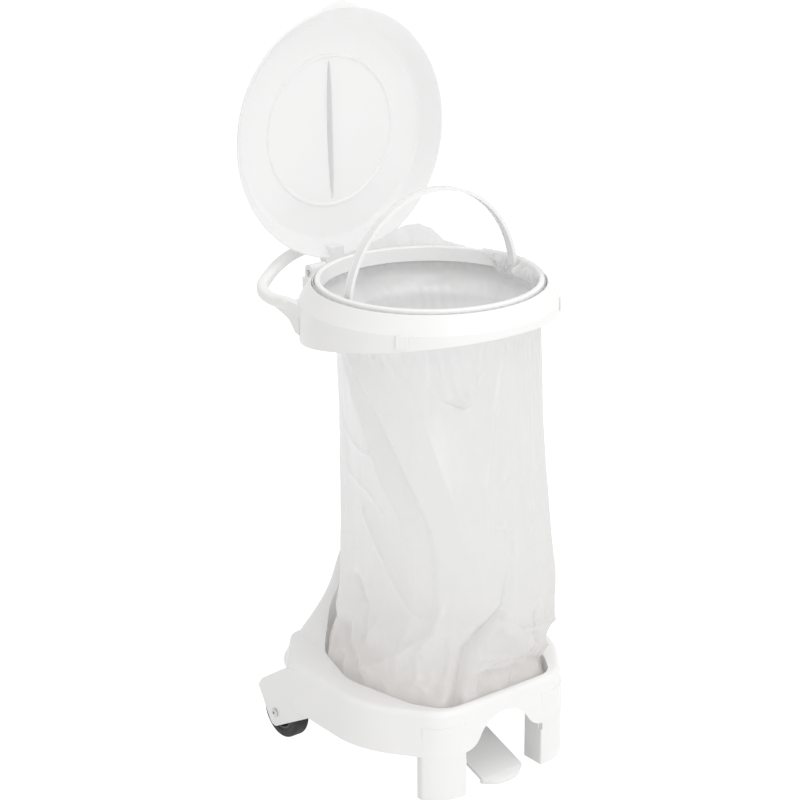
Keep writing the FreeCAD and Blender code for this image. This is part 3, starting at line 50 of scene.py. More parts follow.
# Camera: a long lens a little above the ring, turned 38 degrees to the part's left.
camera_data = bpy.data.cameras.new("camera")
camera = bpy.data.objects.new("camera", camera_data)
bpy.context.scene.collection.objects.link(camera)
turn = math.radians(-38.19)
rise = math.radians(19.67)
roll = math.radians(-0.17)
back = Vector((math.sin(turn) * math.cos(rise), -math.cos(turn) * math.cos(rise), math.sin(rise)))
right = Vector((math.cos(turn), math.sin(turn), 0.0))
up = back.cross(right)
tilted_right = right * math.cos(roll) + up * math.sin(roll)
tilted_up = up * math.cos(roll) - right * math.sin(roll)
camera.matrix_world = Matrix((
    (tilted_right.x, tilted_up.x, back.x, -2.2712),
    (tilted_right.y, tilted_up.y, back.y, -2.8867 + RING_Y),
    (tilted_right.z, tilted_up.z, back.z, 1.9711),
    (0.0, 0.0, 0.0, 1.0)))
camera_data.sensor_width = 36.0
camera_data.lens = 2225.8 / 800.0 * 36.0
camera_data.shift_x = -29.2 / 800.0
camera_data.clip_end = 100.0
bpy.context.scene.camera = camera


# Floor, world and lamps: a white sweep under soft, even studio light.
def add_node(tree, kind, place, **values):
    """A shader or geometry node at a place, with its sockets set by name or number."""
    node = tree.nodes.new(kind)
    node.location = place
    for name, value in values.items():
        if hasattr(node, name):
            setattr(node, name, value)
        else:
            node.inputs[name.replace("_", " ")].default_value = value
    return node


def linear(code):
    """A linear colour from an sRGB hex code."""
    parts = [int(code[k:k + 2], 16) / 255.0 for k in (1, 3, 5)]
    parts = [p / 12.92 if p <= 0.04045 else ((p + 0.055) / 1.055) ** 2.4 for p in parts]
    return (parts[0], parts[1], parts[2], 1.0)


def link(tree, a, out, b, into):
    """Joins an output of one node to an input of another."""
    tree.links.new(a.outputs[out], b.inputs[into])


def empty_tree(owner):
    """The node tree of a world or material, with nothing in it."""
    owner.use_nodes = True
    owner.node_tree.nodes.clear()
    return owner.node_tree


def seen_straight(tree, left):
    """A node that gives 1 where a camera, glossy or transmission ray looks, else 0."""
    rays = add_node(tree, "ShaderNodeLightPath", (left, 200))
    seen = add_node(tree, "ShaderNodeMath", (left + 200, 250), operation="MAXIMUM")
    seen_too = add_node(tree, "ShaderNodeMath", (left + 380, 250), operation="MAXIMUM")
    link(tree, rays, "Is Camera Ray", seen, 0)
    link(tree, rays, "Is Transmission Ray", seen, 1)
    link(tree, seen, 0, seen_too, 0)
    link(tree, rays, "Is Glossy Ray", seen_too, 1)
    return seen_too


world = bpy.data.worlds.new("studio")
bpy.context.scene.world = world
tree = empty_tree(world)
seen_too = seen_straight(tree, -600)
dim = add_node(tree, "ShaderNodeBackground", (-220, 0), Color=linear("#fbfaf9"), Strength=0.80)
bright = add_node(tree, "ShaderNodeBackground", (-220, -150), Color=(1.0, 1.0, 1.0, 1.0), Strength=1.0)
mix = add_node(tree, "ShaderNodeMixShader", (0, 100))
end = add_node(tree, "ShaderNodeOutputWorld", (200, 100))
link(tree, seen_too, 0, mix, 0)
link(tree, dim, 0, mix, 1)
link(tree, bright, 0, mix, 2)
link(tree, mix, 0, end, 0)

floor_mesh = bpy.data.meshes.new("floor")
floor_mesh.from_pydata([(-30, -30, 0), (30, -30, 0), (30, 30, 0), (-30, 30, 0)], [], [(0, 1, 2, 3)])
floor = bpy.data.objects.new("floor", floor_mesh)
floor.location.z = -0.0006
bpy.context.scene.collection.objects.link(floor)
sweep = bpy.data.materials.new("white_sweep")
tree = empty_tree(sweep)
seen_too = seen_straight(tree, -700)
share = add_node(tree, "ShaderNodeMath", (-150, 250), operation="MULTIPLY")
share.inputs[1].default_value = 0.85
link(tree, seen_too, 0, share, 0)
paper = add_node(tree, "ShaderNodeBsdfDiffuse", (-320, 0), Color=linear("#f6f6f6"))
glow = add_node(tree, "ShaderNodeEmission", (-320, -150), Color=(1.0, 1.0, 1.0, 1.0), Strength=1.30)
mix = add_node(tree, "ShaderNodeMixShader", (0, 100))
end = add_node(tree, "ShaderNodeOutputMaterial", (200, 100))
link(tree, share, 0, mix, 0)
link(tree, paper, 0, mix, 1)
link(tree, glow, 0, mix, 2)
link(tree, mix, 0, end, 0)
floor_mesh.materials.append(sweep)

for name, place, aim, width, power in (
        ("key", (-0.2, -3.9, 3.1), (0.0, 0.0, 0.7), 2.8, 24.0),
        ("low_front", (-1.0, -3.0, 0.6), (0.0, 0.0, 0.05), 1.2, 9.0),
        ("side", (3.2, -2.0, 1.9), (0.0, 0.0, 0.6), 2.6, 5.0),
        ("sparkle", (0.9, -3.2, 1.9), (0.0, 0.0, 0.5), 0.35, 3.0),
        ("top", (0.5, -0.8, 4.3), (0.0, 0.0, 0.7), 2.4, 34.0)):
    lamp_data = bpy.data.lights.new(name, "AREA")
    lamp_data.size = width
    lamp_data.energy = power
    lamp = bpy.data.objects.new(name, lamp_data)
    lamp.location = place
    lamp.rotation_euler = (Vector(aim) - Vector(place)).to_track_quat("-Z", "Y").to_euler()
    bpy.context.scene.collection.objects.link(lamp)
bpy.context.scene.view_settings.view_transform = "Standard"


# Moulded pieces: base, ring with handle, lid, pedal, clamp ring, bail and clips.
# White polypropylene with a satin skin, a faint orange peel and slightly uneven gloss.
def plastic(name, light, dark, gloss, grain, peel, thin=0.0):
    """A moulded plastic: colour drifts between two tones, gloss varies, and the skin is finely pebbled.
    thin is the share of light that its wall lets through."""
    material = bpy.data.materials.new(name)
    tree = empty_tree(material)
    spot = add_node(tree, "ShaderNodeTexCoord", (-1200, 0))
    drift = add_node(tree, "ShaderNodeTexNoise", (-900, 250), Scale=9.0, Detail=3.0, Roughness=0.55)
    tone = add_node(tree, "ShaderNodeMix", (-500, 300), data_type="RGBA")
    tone.inputs[6].default_value = linear(light)
    tone.inputs[7].default_value = linear(dark)
    wear = add_node(tree, "ShaderNodeTexNoise", (-900, 0), Scale=38.0, Detail=4.0, Roughness=0.6)
    level = add_node(tree, "ShaderNodeMapRange", (-650, 0))
    level.inputs["From Min"].default_value = 0.3
    level.inputs["From Max"].default_value = 0.7
    level.inputs["To Min"].default_value = gloss - 0.05
    level.inputs["To Max"].default_value = gloss + 0.06
    skin = add_node(tree, "ShaderNodeTexNoise", (-900, -300), Scale=1000.0 / grain, Detail=2.0, Roughness=0.5)
    bump = add_node(tree, "ShaderNodeBump", (-500, -300), Strength=peel, Distance=0.0001)
    shader = add_node(tree, "ShaderNodeBsdfPrincipled", (-200, 100))
    shader.inputs["IOR"].default_value = 1.49
    end = add_node(tree, "ShaderNodeOutputMaterial", (100, 100))
    for texture in (drift, wear, skin):
        link(tree, spot, "Object", texture, "Vector")
    link(tree, drift, 0, tone, 0)
    link(tree, tone, 2, shader, "Base Color")
    link(tree, wear, 0, level, 0)
    link(tree, level, 0, shader, "Roughness")
    link(tree, skin, 0, bump, "Height")
    link(tree, bump, 0, shader, "Normal")
    if thin:
        through = add_node(tree, "ShaderNodeBsdfTranslucent", (-200, -500))
        whole = add_node(tree, "ShaderNodeMixShader", (0, -100))
        whole.inputs[0].default_value = thin
        link(tree, tone, 2, through, "Color")
        link(tree, shader, 0, whole, 1)
        link(tree, through, 0, whole, 2)
        link(tree, whole, 0, end, 0)
    else:
        link(tree, shader, 0, end, 0)
    return material


def dress(name, material):
    """Gives a CAD node its material, in a single slot."""
    node = nodes[name]
    node.data.materials.clear()
    node.data.materials.append(material)


white_plastic = plastic("white_polypropylene", "#f1f1f1", "#ececec", 0.34, 1.3, 0.35)
for name in ("base", "ring", "clamp_ring", "pedal", "clip_left", "clip_right"):
    dress(name, white_plastic)
smooth_plastic = plastic("white_polypropylene_polished", "#f0f0f0", "#ebebeb", 0.30, 1.8, 0.05)
dress("bail", smooth_plastic)
lid_plastic = plastic("white_polypropylene_thin", "#fcfcfc", "#fafafa", 0.36, 1.1, 0.3, thin=0.45)
dress("lid", lid_plastic)
post_paint = plastic("white_powder_coat", "#f1f1ef", "#ececea", 0.28, 0.6, 0.5)
dress("post", post_paint)

# Wheels: grey plastic hubs and plain black rubber tyres with a worn tread.
hub_plastic = plastic("grey_nylon", "#4a4b4d", "#3e3f41", 0.48, 0.7, 0.4)
tyre_rubber = plastic("black_rubber", "#232325", "#2e2e30", 0.66, 0.9, 0.8)
for side in ("left", "right"):
    dress("hub_" + side, hub_plastic)
    dress("tyre_" + side, tyre_rubber)


# Pins, push rod, bolts and nuts: zinc-plated steel, drawn along the rod and dulled by handling.
def metal(name, light, dark, gloss, stretch):
    """A plated metal with fine streaks along one axis and cloudy gloss."""
    material = bpy.data.materials.new(name)
    tree = empty_tree(material)
    spot = add_node(tree, "ShaderNodeTexCoord", (-1200, 0))
    along = add_node(tree, "ShaderNodeMapping", (-1000, 0))
    along.inputs["Scale"].default_value = stretch
    streak = add_node(tree, "ShaderNodeTexNoise", (-800, 100), Scale=900.0, Detail=3.0, Roughness=0.6)
    cloud = add_node(tree, "ShaderNodeTexNoise", (-800, -150), Scale=70.0, Detail=2.0, Roughness=0.5)
    tone = add_node(tree, "ShaderNodeMix", (-450, 200), data_type="RGBA")
    tone.inputs[6].default_value = linear(light)
    tone.inputs[7].default_value = linear(dark)
    level = add_node(tree, "ShaderNodeMapRange", (-450, -100))
    level.inputs["To Min"].default_value = gloss - 0.06
    level.inputs["To Max"].default_value = gloss + 0.1
    bump = add_node(tree, "ShaderNodeBump", (-450, -350), Strength=0.25, Distance=0.00004)
    shader = add_node(tree, "ShaderNodeBsdfPrincipled", (-150, 100), Metallic=1.0)
    end = add_node(tree, "ShaderNodeOutputMaterial", (150, 100))
    link(tree, spot, "Object", along, "Vector")
    link(tree, along, 0, streak, "Vector")
    link(tree, spot, "Object", cloud, "Vector")
    link(tree, cloud, 0, tone, 0)
    link(tree, tone, 2, shader, "Base Color")
    link(tree, cloud, 0, level, 0)
    link(tree, level, 0, shader, "Roughness")
    link(tree, streak, 0, bump, "Height")
    link(tree, bump, 0, shader, "Normal")
    link(tree, shader, 0, end, 0)
    return material


zinc = metal("zinc_plated_steel", "#c9cacc", "#a9abae", 0.34, (1.0, 1.0, 0.06))
turned = metal("turned_steel", "#cfcfd0", "#aeb0b2", 0.3, (0.08, 1.0, 1.0))
dress("push_rod", zinc)
for name in ("hinge_pin", "pedal_pin", "axle_bolt_left", "axle_bolt_right", "axle_nut_left", "axle_nut_right"):
    dress(name, turned)

# Bag: a clear film sack. Its mouth is gathered between the clamp ring and the collar,
# its body hangs in flat slanting panels with a crisp crease between each two, and its
# foot slumps into the tray. Heights and radii are metres, angles are degrees from the front.
# BODY has a row for each height: the height, the bag's centre in x and y, and its radius.
BAG_FOOT = 0.1445
BAG_SEAT = 0.842
BODY = (
    (0.144, 0.010, -0.014, 0.184),
    (0.230, 0.010, -0.016, 0.190),
    (0.330, 0.017, -0.026, 0.187),
    (0.500, 0.013, -0.024, 0.181),
    (0.760, 0.003, -0.019, 0.1750),
    (0.815, 0.000, -0.017, 0.1765),
    (0.842, 0.000, -0.010, 0.187),
    (0.950, 0.000, 0.000, 0.2003))

# One line for each crease between two panels: height, angle and how far it stands out.
CREASES = (
    ((0.80, -176, 0.002), (0.55, -182, 0.006), (0.30, -184, -0.004), (0.144, -184, 0.0)),
    ((0.80, -150, 0.000), (0.60, -156, -0.005), (0.30, -150, 0.004), (0.144, -150, 0.0)),
    ((0.80, -128, 0.000), (0.60, -130, 0.000), (0.45, -128, 0.001), (0.30, -128, 0.003), (0.144, -127, 0.0)),
    ((0.80, -122, -0.002), (0.76, -112, -0.005), (0.65, -90, -0.007), (0.56, -76, -0.006), (0.48, -60, -0.006),
     (0.37, -56, -0.004), (0.30, -60, 0.0), (0.144, -66, 0.0)),
    ((0.80, -110, -0.003), (0.771, -106, -0.011), (0.734, -87, -0.017), (0.652, -70.5, -0.017), (0.564, -57.5, -0.016),
     (0.481, -46, -0.014), (0.373, -45.2, -0.009), (0.300, -47, -0.002), (0.144, -50, 0.0)),
    ((0.80, -106, 0.001), (0.771, -102, 0.004), (0.734, -84.5, 0.006), (0.652, -68.5, 0.006), (0.564, -55.5, 0.005),
     (0.481, -44, -0.004), (0.373, -43, -0.004), (0.300, -44, 0.004), (0.144, -42, 0.0)),
    ((0.80, -58, 0.002), (0.65, -44, 0.009), (0.519, -30, 0.014), (0.419, -22, 0.013), (0.330, -12, 0.006),
     (0.290, -20, -0.002), (0.260, -26, -0.004), (0.174, -27, 0.0), (0.144, -27, 0.0)),
    ((0.80, -26, 0.001), (0.713, -25, 0.001), (0.60, -16, 0.001), (0.50, -12, 0.000), (0.40, -9, 0.000),
     (0.330, -8.5, 0.006), (0.280, -15, 0.006), (0.240, -19, 0.004), (0.144, -18, 0.0)),
    ((0.80, 3, 0.000), (0.663, -3, -0.003), (0.520, -4, -0.005), (0.400, -3, -0.004), (0.320, -6, -0.010),
     (0.262, 2, -0.006), (0.200, 4, 0.002), (0.144, 4, 0.0)),
    ((0.80, 11, 0.004), (0.664, 10, 0.005), (0.501, 3.5, 0.005), (0.400, 0, 0.004), (0.325, -3, 0.007),
     (0.270, 12, 0.006), (0.210, 16, 0.004), (0.144, 16, 0.0)),
    ((0.80, 26, 0.000), (0.671, 28, -0.002), (0.531, 24, -0.002), (0.400, 22, 0.000), (0.290, 24, -0.003),
     (0.240, 30, -0.010), (0.190, 34, -0.012), (0.144, 34, 0.0)),
    ((0.80, 50, 0.003), (0.60, 50, 0.003), (0.40, 50, 0.006), (0.290, 49, 0.012), (0.222, 48, 0.023),
     (0.194, 48, 0.006), (0.170, 49, -0.004), (0.144, 50, 0.0)),
    ((0.80, 78, 0.000), (0.55, 74, -0.003), (0.30, 76, 0.004), (0.21, 76, 0.006), (0.144, 78, 0.0)),
    ((0.80, 104, 0.002), (0.55, 100, 0.004), (0.30, 104, -0.003), (0.144, 104, 0.0)),
    ((0.80, 132, 0.000), (0.55, 126, -0.003), (0.30, 132, 0.003), (0.144, 132, 0.0)),
    ((0.80, 156, 0.002), (0.55, 152, 0.002), (0.30, 154, -0.003), (0.144, 154, 0.0)))

# Fine ridges pressed into the film: their route as (angle, height), their height and reach.
RIDGES = (
    (((-40, 0.822), (-35, 0.724), (-26, 0.713)), 0.0075, 0.0042),
    (((-15, 0.822), (-20, 0.726), (-26, 0.713)), 0.0080, 0.0046),
    (((-32, 0.822), (-28, 0.742), (-23, 0.724)), 0.0055, 0.0040),
    (((-30, 0.718), (-20, 0.716)), 0.0050, 0.0050),
    (((-46, 0.822), (-44, 0.760), (-37, 0.728)), 0.0040, 0.0040),
    (((-8, 0.822), (-11, 0.770), (-20, 0.735)), -0.0050, 0.0050),
    (((4, 0.822), (-8, 0.663), (-16, 0.519), (-14, 0.484)), 0.0060, 0.0052),
    (((-16, 0.519), (-12, 0.482), (1, 0.473)), -0.0045, 0.0060),
    (((-2, 0.660), (2, 0.620), (0, 0.580), (-5, 0.560)), 0.0055, 0.0055),
    (((11, 0.823), (10.5, 0.664), (3.5, 0.501), (-5, 0.320)), -0.0065, 0.0036),
    (((19, 0.823), (20, 0.700), (17, 0.560), (15, 0.430)), 0.0045, 0.0042),
    (((33, 0.822), (36, 0.700), (36, 0.560)), 0.0045, 0.0050),
    (((-56, 0.822), (-58, 0.790), (-55, 0.760)), -0.0045, 0.0040),
    (((-62, 0.822), (-65, 0.790), (-62, 0.765)), 0.0050, 0.0040),
    (((-69, 0.822), (-73, 0.795), (-71, 0.775)), -0.0045, 0.0040),
    (((-77, 0.822), (-80, 0.795), (-78, 0.782)), 0.0045, 0.0040),
    (((-118, 0.622), (-96, 0.600), (-84, 0.606)), 0.0030, 0.0050),
    (((-116, 0.542), (-92, 0.528), (-80, 0.500)), 0.0030, 0.0050),
    (((-100, 0.480), (-86, 0.430), (-70, 0.370), (-52, 0.326)), 0.0060, 0.0080),
    (((-112, 0.350), (-98, 0.310), (-96, 0.250)), -0.0080, 0.0070),
    (((-43, 0.330), (-47, 0.300), (-60, 0.262), (-74, 0.225), (-92, 0.190)), 0.0090, 0.0120),
    (((-44, 0.312), (-52, 0.261), (-50, 0.205), (-40, 0.180)), 0.0100, 0.0080),
    (((-9, 0.325), (-20, 0.290), (-26, 0.262), (-29, 0.160)), -0.0260, 0.0085),
    (((-38, 0.285), (-36, 0.240), (-39, 0.196)), -0.0090, 0.0085),
    (((-22, 0.280), (-18, 0.230), (-16, 0.160)), 0.0080, 0.0070),
    (((-17, 0.246), (-6, 0.236), (4, 0.229), (20, 0.222)), 0.0110, 0.0075),
    (((-18, 0.214), (-2, 0.206), (16, 0.200)), -0.0110, 0.0075),
    (((-9, 0.318), (8, 0.286), (28, 0.262), (48, 0.244)), 0.0080, 0.0065),
    (((22, 0.246), (34, 0.214), (48, 0.196)), 0.0090, 0.0070),
    (((26, 0.205), (38, 0.186), (46, 0.170)), -0.0100, 0.0070),
    (((-120, 0.240), (-104, 0.200), (-96, 0.160)), -0.0080, 0.0090))


def blend_rows(rows, height):
    """Values between the rows of a table whose first column is a height."""
    rows = sorted(rows)
    if height <= rows[0][0]:
        return rows[0][1:]
    for low, high in zip(rows[:-1], rows[1:]):
        if height <= high[0]:
            share = (height - low[0]) / (high[0] - low[0])
            return [a + (b - a) * share for a, b in zip(low[1:], high[1:])]
    return rows[-1][1:]


def crease_rows(height):
    """Each crease's angle and stand at a height, eased over 60 mm so that it never kinks."""
    rows = []
    for crease in CREASES:
        seen = [blend_rows(crease, height + step) for step in (-0.030, -0.015, 0.0, 0.015, 0.030)]
        rows.append([sum(part) / len(seen) for part in zip(*seen)])
    return rows


base_mesh = nodes["base"].data
base_tree = BVHTree.FromPolygons([v.co for v in base_mesh.vertices], [p.vertices for p in base_mesh.polygons])
FOOT_CENTRE = -0.016
WALL_PLAY = 0.0035
TRAY_LEVEL = 0.157


def tray_reach(angle):
    """From the foot's centre to the tray's wall, less the film's play."""
    turn = math.radians(angle)
    start = Vector((0.0, FOOT_CENTRE + RING_Y, TRAY_LEVEL))
    hit = base_tree.ray_cast(start, Vector((math.sin(turn), -math.cos(turn), 0.0)))
    return hit[3] - WALL_PLAY


METRES_PER_DEGREE = 0.0032


def near_line(points, angle, height):
    """Distance in metres along the film from a place to a route."""
    nearest = 1.0
    for (a0, z0), (a1, z1) in zip(points[:-1], points[1:]):
        px = ((angle - a0 + 180.0) % 360.0 - 180.0) * METRES_PER_DEGREE
        bx = ((a1 - a0 + 180.0) % 360.0 - 180.0) * METRES_PER_DEGREE
        pz, bz = height - z0, z1 - z0
        along = max(0.0, min(1.0, (px * bx + pz * bz) / (bx * bx + bz * bz)))
        nearest = min(nearest, math.hypot(px - bx * along, pz - bz * along))
    return nearest


def ridge_height(angle, height):
    """How far the fine ridges near a place lift the film."""
    total = 0.0
    for points, lift, reach in RIDGES:
        far = near_line(points, angle, height)
        if far < reach * 5.0:
            total += lift * math.exp(-far / reach)
    return total


def panel_radius(corners, angle):
    """Radius of the straight panel between two creases, eased a little towards an arc."""
    for (a0, r0), (a1, r1) in zip(corners, corners[1:] + [(corners[0][0] + 360.0, corners[0][1])]):
        if a0 <= angle < a1 or a0 <= angle + 360.0 < a1:
            here = angle if a0 <= angle < a1 else angle + 360.0
            span = math.radians(a1 - a0)
            part = math.radians(here - a0)
            chord = r0 * r1 * math.sin(span) / (r0 * math.sin(part) + r1 * math.sin(span - part))
            arc = r0 + (r1 - r0) * part / span
            return chord * 0.80 + arc * 0.20
    return corners[0][1]


RIM = ((-180, 0.889), (-165, 0.886), (-150, 0.882), (-60, 0.879), (60, 0.879), (100, 0.881), (120, 0.883),
       (128, 0.888), (134, 0.893), (138, 0.906), (141, 0.915), (147, 0.924), (152, 0.922), (160, 0.912),
       (170, 0.898), (180, 0.889))


def rim_at(angle):
    """Height of the film's free edge: it stands up behind the ring."""
    for (a0, z0), (a1, z1) in zip(RIM[:-1], RIM[1:]):
        if angle <= a1:
            return z0 + (z1 - z0) * (angle - a0) / (a1 - a0)
    return RIM[-1][1]


def wave(angle, a, b, c, seed):
    """Seamless noise round the bag."""
    return noise.noise(Vector((math.sin(angle) * a + seed, math.cos(angle) * b, c)))


ROUND = 384
ROWS = 206
NECK_ROWS = 16
angles = [-180.0 + 360.0 * column / ROUND for column in range(ROUND)]
foot_reach = [tray_reach(angle) for angle in angles]
foot_reach = [sum(foot_reach[(k + step) % ROUND] for step in range(-6, 7)) / 13.0 for k in range(ROUND)]
foot_reach = [min(foot_reach[k], tray_reach(angles[k])) for k in range(ROUND)]


def add_piece(name, built):
    """A smooth piece of film in the scene from what was built."""
    mesh = bpy.data.meshes.new(name)
    built.to_mesh(mesh)
    built.free()
    mesh.polygons.foreach_set("use_smooth", [True] * len(mesh.polygons))
    piece = bpy.data.objects.new(name, mesh)
    bpy.context.scene.collection.objects.link(piece)
    return piece


def smooth_step(low, high, value):
    """0 below the low value, 1 above the high one, and an eased climb between them."""
    share = max(0.0, min(1.0, (value - low) / (high - low)))
    return share * share * (3.0 - 2.0 * share)


def hanging_radius(angle, column, height, reach, corners, slump):
    """Distance of the hanging film from the bag's axis."""
    turn = math.radians(angle)
    free = 1.0 - smooth_step(BAG_SEAT - 0.055, BAG_SEAT - 0.004, height)
    radius = panel_radius(corners, angle) * free + reach * (1.0 - free)
    radius = radius * (1.0 - slump) + foot_reach[column] * slump
    radius += free * ridge_height(angle, height)
    low = max(0.0, 1.0 - (height - BAG_FOOT) / 0.20)
    calm = smooth_step(0.0, 0.03, height - BAG_FOOT)
    broken = abs(wave(turn, 3.4, 3.4, height * 11.0, 0.0)) + 0.3 * abs(wave(turn, 7.0, 7.0, height * 22.0, 3.0))
    radius += calm * low * (0.14 - broken) * 0.030
    radius += free * 0.0050 * wave(turn, 1.5, 1.5, height * 3.0, 9.0)
    radius += free * 0.0016 * wave(turn, 7.0, 7.0, height * 9.0, 5.0)
    radius += free * 0.0011 * abs(wave(turn, 22.0, 22.0, height * 12.0, 1.0))
    gather = math.exp(-max(0.0, BAG_SEAT - height) / 0.040) * free
    radius += gather * 0.0034 * math.sin(turn * 53.0 + 4.0 * wave(turn, 3.0, 3.0, height * 5.0, 2.0))
    if height < 0.180:
        radius = min(radius, foot_reach[column])
    return radius


film_mesh = bmesh.new()
grid = []
for row in range(ROWS + 1):
    height = BAG_FOOT + (BAG_SEAT - BAG_FOOT) * row / ROWS
    seen = [blend_rows(BODY, height + step) for step in (-0.02, -0.01, 0.0, 0.01, 0.02)]
    x, y, reach = [sum(part) / len(seen) for part in zip(*seen)]
    seat = smooth_step(BAG_SEAT - 0.040, BAG_SEAT, height)
    x, y, reach = x * (1.0 - seat), y * (1.0 - seat), reach * (1.0 - seat) + 0.2003 * seat
    slump = 1.0 - smooth_step(0.160, 0.250, height)
    x *= 1.0 - slump
    y = y * (1.0 - slump) + FOOT_CENTRE * slump
    corners = sorted(((where + 180.0) % 360.0 - 180.0, reach + stand) for where, stand in crease_rows(height))
    radii = [hanging_radius(angles[column], column, height, reach, corners, slump) for column in range(ROUND)]
    line = []
    for column in range(ROUND):
        radius = 0.25 * radii[column - 1] + 0.5 * radii[column] + 0.25 * radii[(column + 1) % ROUND]
        turn = math.radians(angles[column])
        line.append(film_mesh.verts.new((x + math.sin(turn) * radius, y - math.cos(turn) * radius + RING_Y, height)))
    grid.append(line)

# Its neck passes up between the clamp ring and the collar, and its edge stands up behind them.
# The edge is a strip of its own; the lid presses the real film's edge down as it closes, but this strip is not moved
# with it.
EDGE_FROM = 0.878
edge_mesh = bmesh.new()
edge_grid = []
for row in range(1, NECK_ROWS + 1):
    line = []
    for angle in angles:
        turn = math.radians(angle)
        if row <= NECK_ROWS // 2:
            height = BAG_SEAT + (EDGE_FROM - BAG_SEAT) * row / (NECK_ROWS // 2)
        else:
            height = EDGE_FROM + (rim_at(angle) - EDGE_FROM) * (row - NECK_ROWS // 2) / (NECK_ROWS // 2)
        over = max(0.0, height - 0.884)
        radius = 0.2003 + 0.0010 * math.sin(turn * 61.0 + 3.0 * math.sin(turn * 3.0))
        radius += over * (0.10 + 0.10 * math.sin(turn * 19.0) + 0.05 * math.sin(turn * 47.0))
        place = (math.sin(turn) * radius, -math.cos(turn) * radius + RING_Y, height)
        if row <= NECK_ROWS // 2:
            line.append(film_mesh.verts.new(place))
        if row >= NECK_ROWS // 2:
            edge_grid.append(edge_mesh.verts.new(place))
    if row <= NECK_ROWS // 2:
        grid.append(line)
for row in range(NECK_ROWS - NECK_ROWS // 2):
    for column in range(ROUND):
        first, second = row * ROUND + column, row * ROUND + (column + 1) % ROUND
        edge_mesh.faces.new((edge_grid[first], edge_grid[second],
                             edge_grid[second + ROUND], edge_grid[first + ROUND]))
bag_edge = add_piece("bag_edge", edge_mesh)

# The bottom seam lies slack on the tray's floor
SEAM_RINGS = 14
for number in range(1, SEAM_RINGS):
    shrink = 1.0 - number / SEAM_RINGS
    line = []
    for column in range(ROUND):
        edge = grid[-ROWS - NECK_ROWS // 2 - 1][column].co
        turn = math.radians(-180.0 + 360.0 * column / ROUND)
        lift = 0.004 * (0.5 + wave(turn, 5.0, 5.0, number * 0.8, 4.0)) * (1.0 - shrink * shrink)
        line.append(film_mesh.verts.new((edge.x * shrink, (edge.y - RING_Y - FOOT_CENTRE) * shrink
                                         + FOOT_CENTRE + RING_Y, BAG_FOOT + lift)))
    grid.insert(0, line)
for lower, upper in zip(grid[:-1], grid[1:]):
    for column in range(ROUND):
        after = (column + 1) % ROUND
        film_mesh.faces.new((lower[column], lower[after], upper[after], upper[column]))
film_mesh.faces.new(list(reversed(grid[0])))
film = add_piece("bag_film", film_mesh)

# Spare film at the mouth, folded in over the clamp ring at the right rear and crumpled there
GATHER_FROM, GATHER_TO = 52.0, 112.0
GATHER_COLUMNS, GATHER_ROWS = 150, 44
fold_mesh = bmesh.new()
grid = []
for row in range(GATHER_ROWS + 1):
    line = []
    for column in range(GATHER_COLUMNS + 1):
        share = column / GATHER_COLUMNS
        angle = GATHER_FROM + (GATHER_TO - GATHER_FROM) * share
        turn = math.radians(angle)
        ends = math.sin(math.pi * share) ** 0.5
        drop = row / GATHER_ROWS
        inset = 15.0 * max(0.0, drop - 0.25) * (1.0 + wave(turn, 3.0, 3.0, drop * 3.0, 12.0))
        angle += inset * (1.0 - 2.0 * share)
        turn = math.radians(angle)
        length = 0.010 + 0.044 * ends * (0.75 + 0.5 * wave(turn, 4.0, 4.0, 0.5, 6.0))
        if drop < 0.25:
            part = drop / 0.25 * math.pi
            out = 0.1925 + 0.0072 * math.cos(part)
            height = 0.8812 + 0.0062 * math.sin(part) + 0.004 * ends * abs(wave(turn, 14.0, 14.0, 1.0, 2.0))
        else:
            part = (drop - 0.25) / 0.75
            out = 0.1853 - 0.010 * part * ends
            height = 0.8812 - length * part
            rough = abs(wave(turn, 15.0, 15.0, part * 1.1, 4.0)) + 0.4 * abs(wave(turn, 32.0, 32.0, part * 2.0, 8.0))
            out -= 0.026 * rough * ends * math.sin(math.pi * min(1.0, part * 1.2 + 0.1))
        line.append(fold_mesh.verts.new((math.sin(turn) * out, -0.0015 - math.cos(turn) * out + RING_Y, height)))
    grid.append(line)
for lower, upper in zip(grid[:-1], grid[1:]):
    for column in range(GATHER_COLUMNS):
        fold_mesh.faces.new((upper[column], upper[column + 1], lower[column + 1], lower[column]))
bag_fold = add_piece("bag_fold", fold_mesh)

# The film is cloudy polyethylene: it lets light through, shows what lies close behind it,
# and carries long crisp crinkles that run up towards the mouth; low down its colour carries painted shade.
film_look = bpy.data.materials.new("clear_polyethylene_film")
tree = empty_tree(film_look)
spot = add_node(tree, "ShaderNodeTexCoord", (-1500, 0))
cloud = add_node(tree, "ShaderNodeTexNoise", (-1000, 300), Scale=6.0, Detail=4.0, Roughness=0.6)
tone = add_node(tree, "ShaderNodeMix", (-600, 300), data_type="RGBA")
tone.inputs[6].default_value = linear("#f9f9f9")
tone.inputs[7].default_value = linear("#f2f2f2")
stretch = add_node(tree, "ShaderNodeMapping", (-1300, -200))
stretch.inputs["Scale"].default_value = (1.0, 1.0, 0.30)
crinkle = add_node(tree, "ShaderNodeTexNoise", (-1000, -150), noise_type="RIDGED_MULTIFRACTAL",
                   Scale=18.0, Detail=3.0, Roughness=0.5)
crinkle.inputs["Distortion"].default_value = 0.5
grainy = add_node(tree, "ShaderNodeTexNoise", (-1000, -450), Scale=150.0, Detail=4.0, Roughness=0.6)
facets = add_node(tree, "ShaderNodeBump", (-700, -200), Strength=0.75, Distance=0.0045)
fine = add_node(tree, "ShaderNodeBump", (-500, -350), Strength=0.30, Distance=0.0008)
see = add_node(tree, "ShaderNodeTexNoise", (-1000, -750), Scale=11.0, Detail=3.0, Roughness=0.55)
clear = add_node(tree, "ShaderNodeMapRange", (-700, -750))
clear.inputs["To Min"].default_value = 0.90
clear.inputs["To Max"].default_value = 0.99
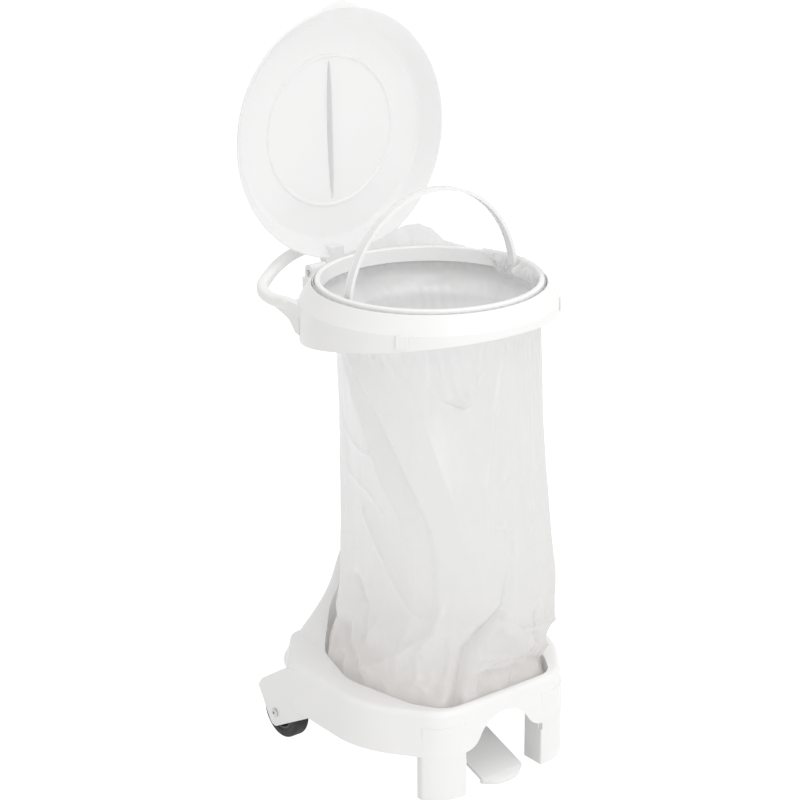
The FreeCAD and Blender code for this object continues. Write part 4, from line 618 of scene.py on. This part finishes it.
shader = add_node(tree, "ShaderNodeBsdfPrincipled", (-200, 100), Roughness=0.15)
shader.inputs["IOR"].default_value = 1.5
shader.inputs["Specular IOR Level"].default_value = 0.9
through = add_node(tree, "ShaderNodeBsdfTranslucent", (-200, -350))
body = add_node(tree, "ShaderNodeMixShader", (60, 50))
body.inputs[0].default_value = 0.60
gap = add_node(tree, "ShaderNodeBsdfTransparent", (60, -200))
whole = add_node(tree, "ShaderNodeMixShader", (260, 50))
end = add_node(tree, "ShaderNodeOutputMaterial", (460, 50))
link(tree, spot, "Object", cloud, "Vector")
link(tree, spot, "Object", see, "Vector")
link(tree, spot, "Object", stretch, "Vector")
link(tree, stretch, 0, crinkle, "Vector")
link(tree, stretch, 0, grainy, "Vector")
link(tree, cloud, 0, tone, 0)
# Painted shade: below 0.31 m the film's colour is multiplied towards a slightly warm grey, standing in for the shaded
# tray and flare behind it.
height = add_node(tree, "ShaderNodeSeparateXYZ", (-1000, 600))
low = add_node(tree, "ShaderNodeMapRange", (-800, 600))
low.inputs["From Min"].default_value = 0.31
low.inputs["From Max"].default_value = 0.19
painted_tray_shade = add_node(tree, "ShaderNodeMix", (-400, 400), data_type="RGBA", blend_type="MULTIPLY")
painted_tray_shade.inputs[7].default_value = linear("#fdfbf9")
link(tree, spot, "Object", height, 0)
link(tree, height, "Z", low, 0)
link(tree, low, 0, painted_tray_shade, 0)
link(tree, tone, 2, painted_tray_shade, 6)
link(tree, painted_tray_shade, 2, shader, "Base Color")
link(tree, painted_tray_shade, 2, through, "Color")
link(tree, crinkle, 0, facets, "Height")
link(tree, facets, 0, fine, "Normal")
link(tree, grainy, 0, fine, "Height")
link(tree, fine, 0, shader, "Normal")
link(tree, fine, 0, through, "Normal")
link(tree, shader, 0, body, 1)
link(tree, through, 0, body, 2)
link(tree, see, 0, clear, 0)
link(tree, clear, 0, whole, 0)
link(tree, gap, 0, whole, 1)
link(tree, body, 0, whole, 2)
link(tree, whole, 0, end, 0)
film.data.materials.append(film_look)
bag_fold.data.materials.append(film_look)
bag_edge.data.materials.append(film_look)
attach(film, "frame")
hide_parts("bag")
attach(bag_fold, "frame")
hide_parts("bag")
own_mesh(bag_fold)
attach(bag_edge, "frame")
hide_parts("bag")
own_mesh(bag_edge)
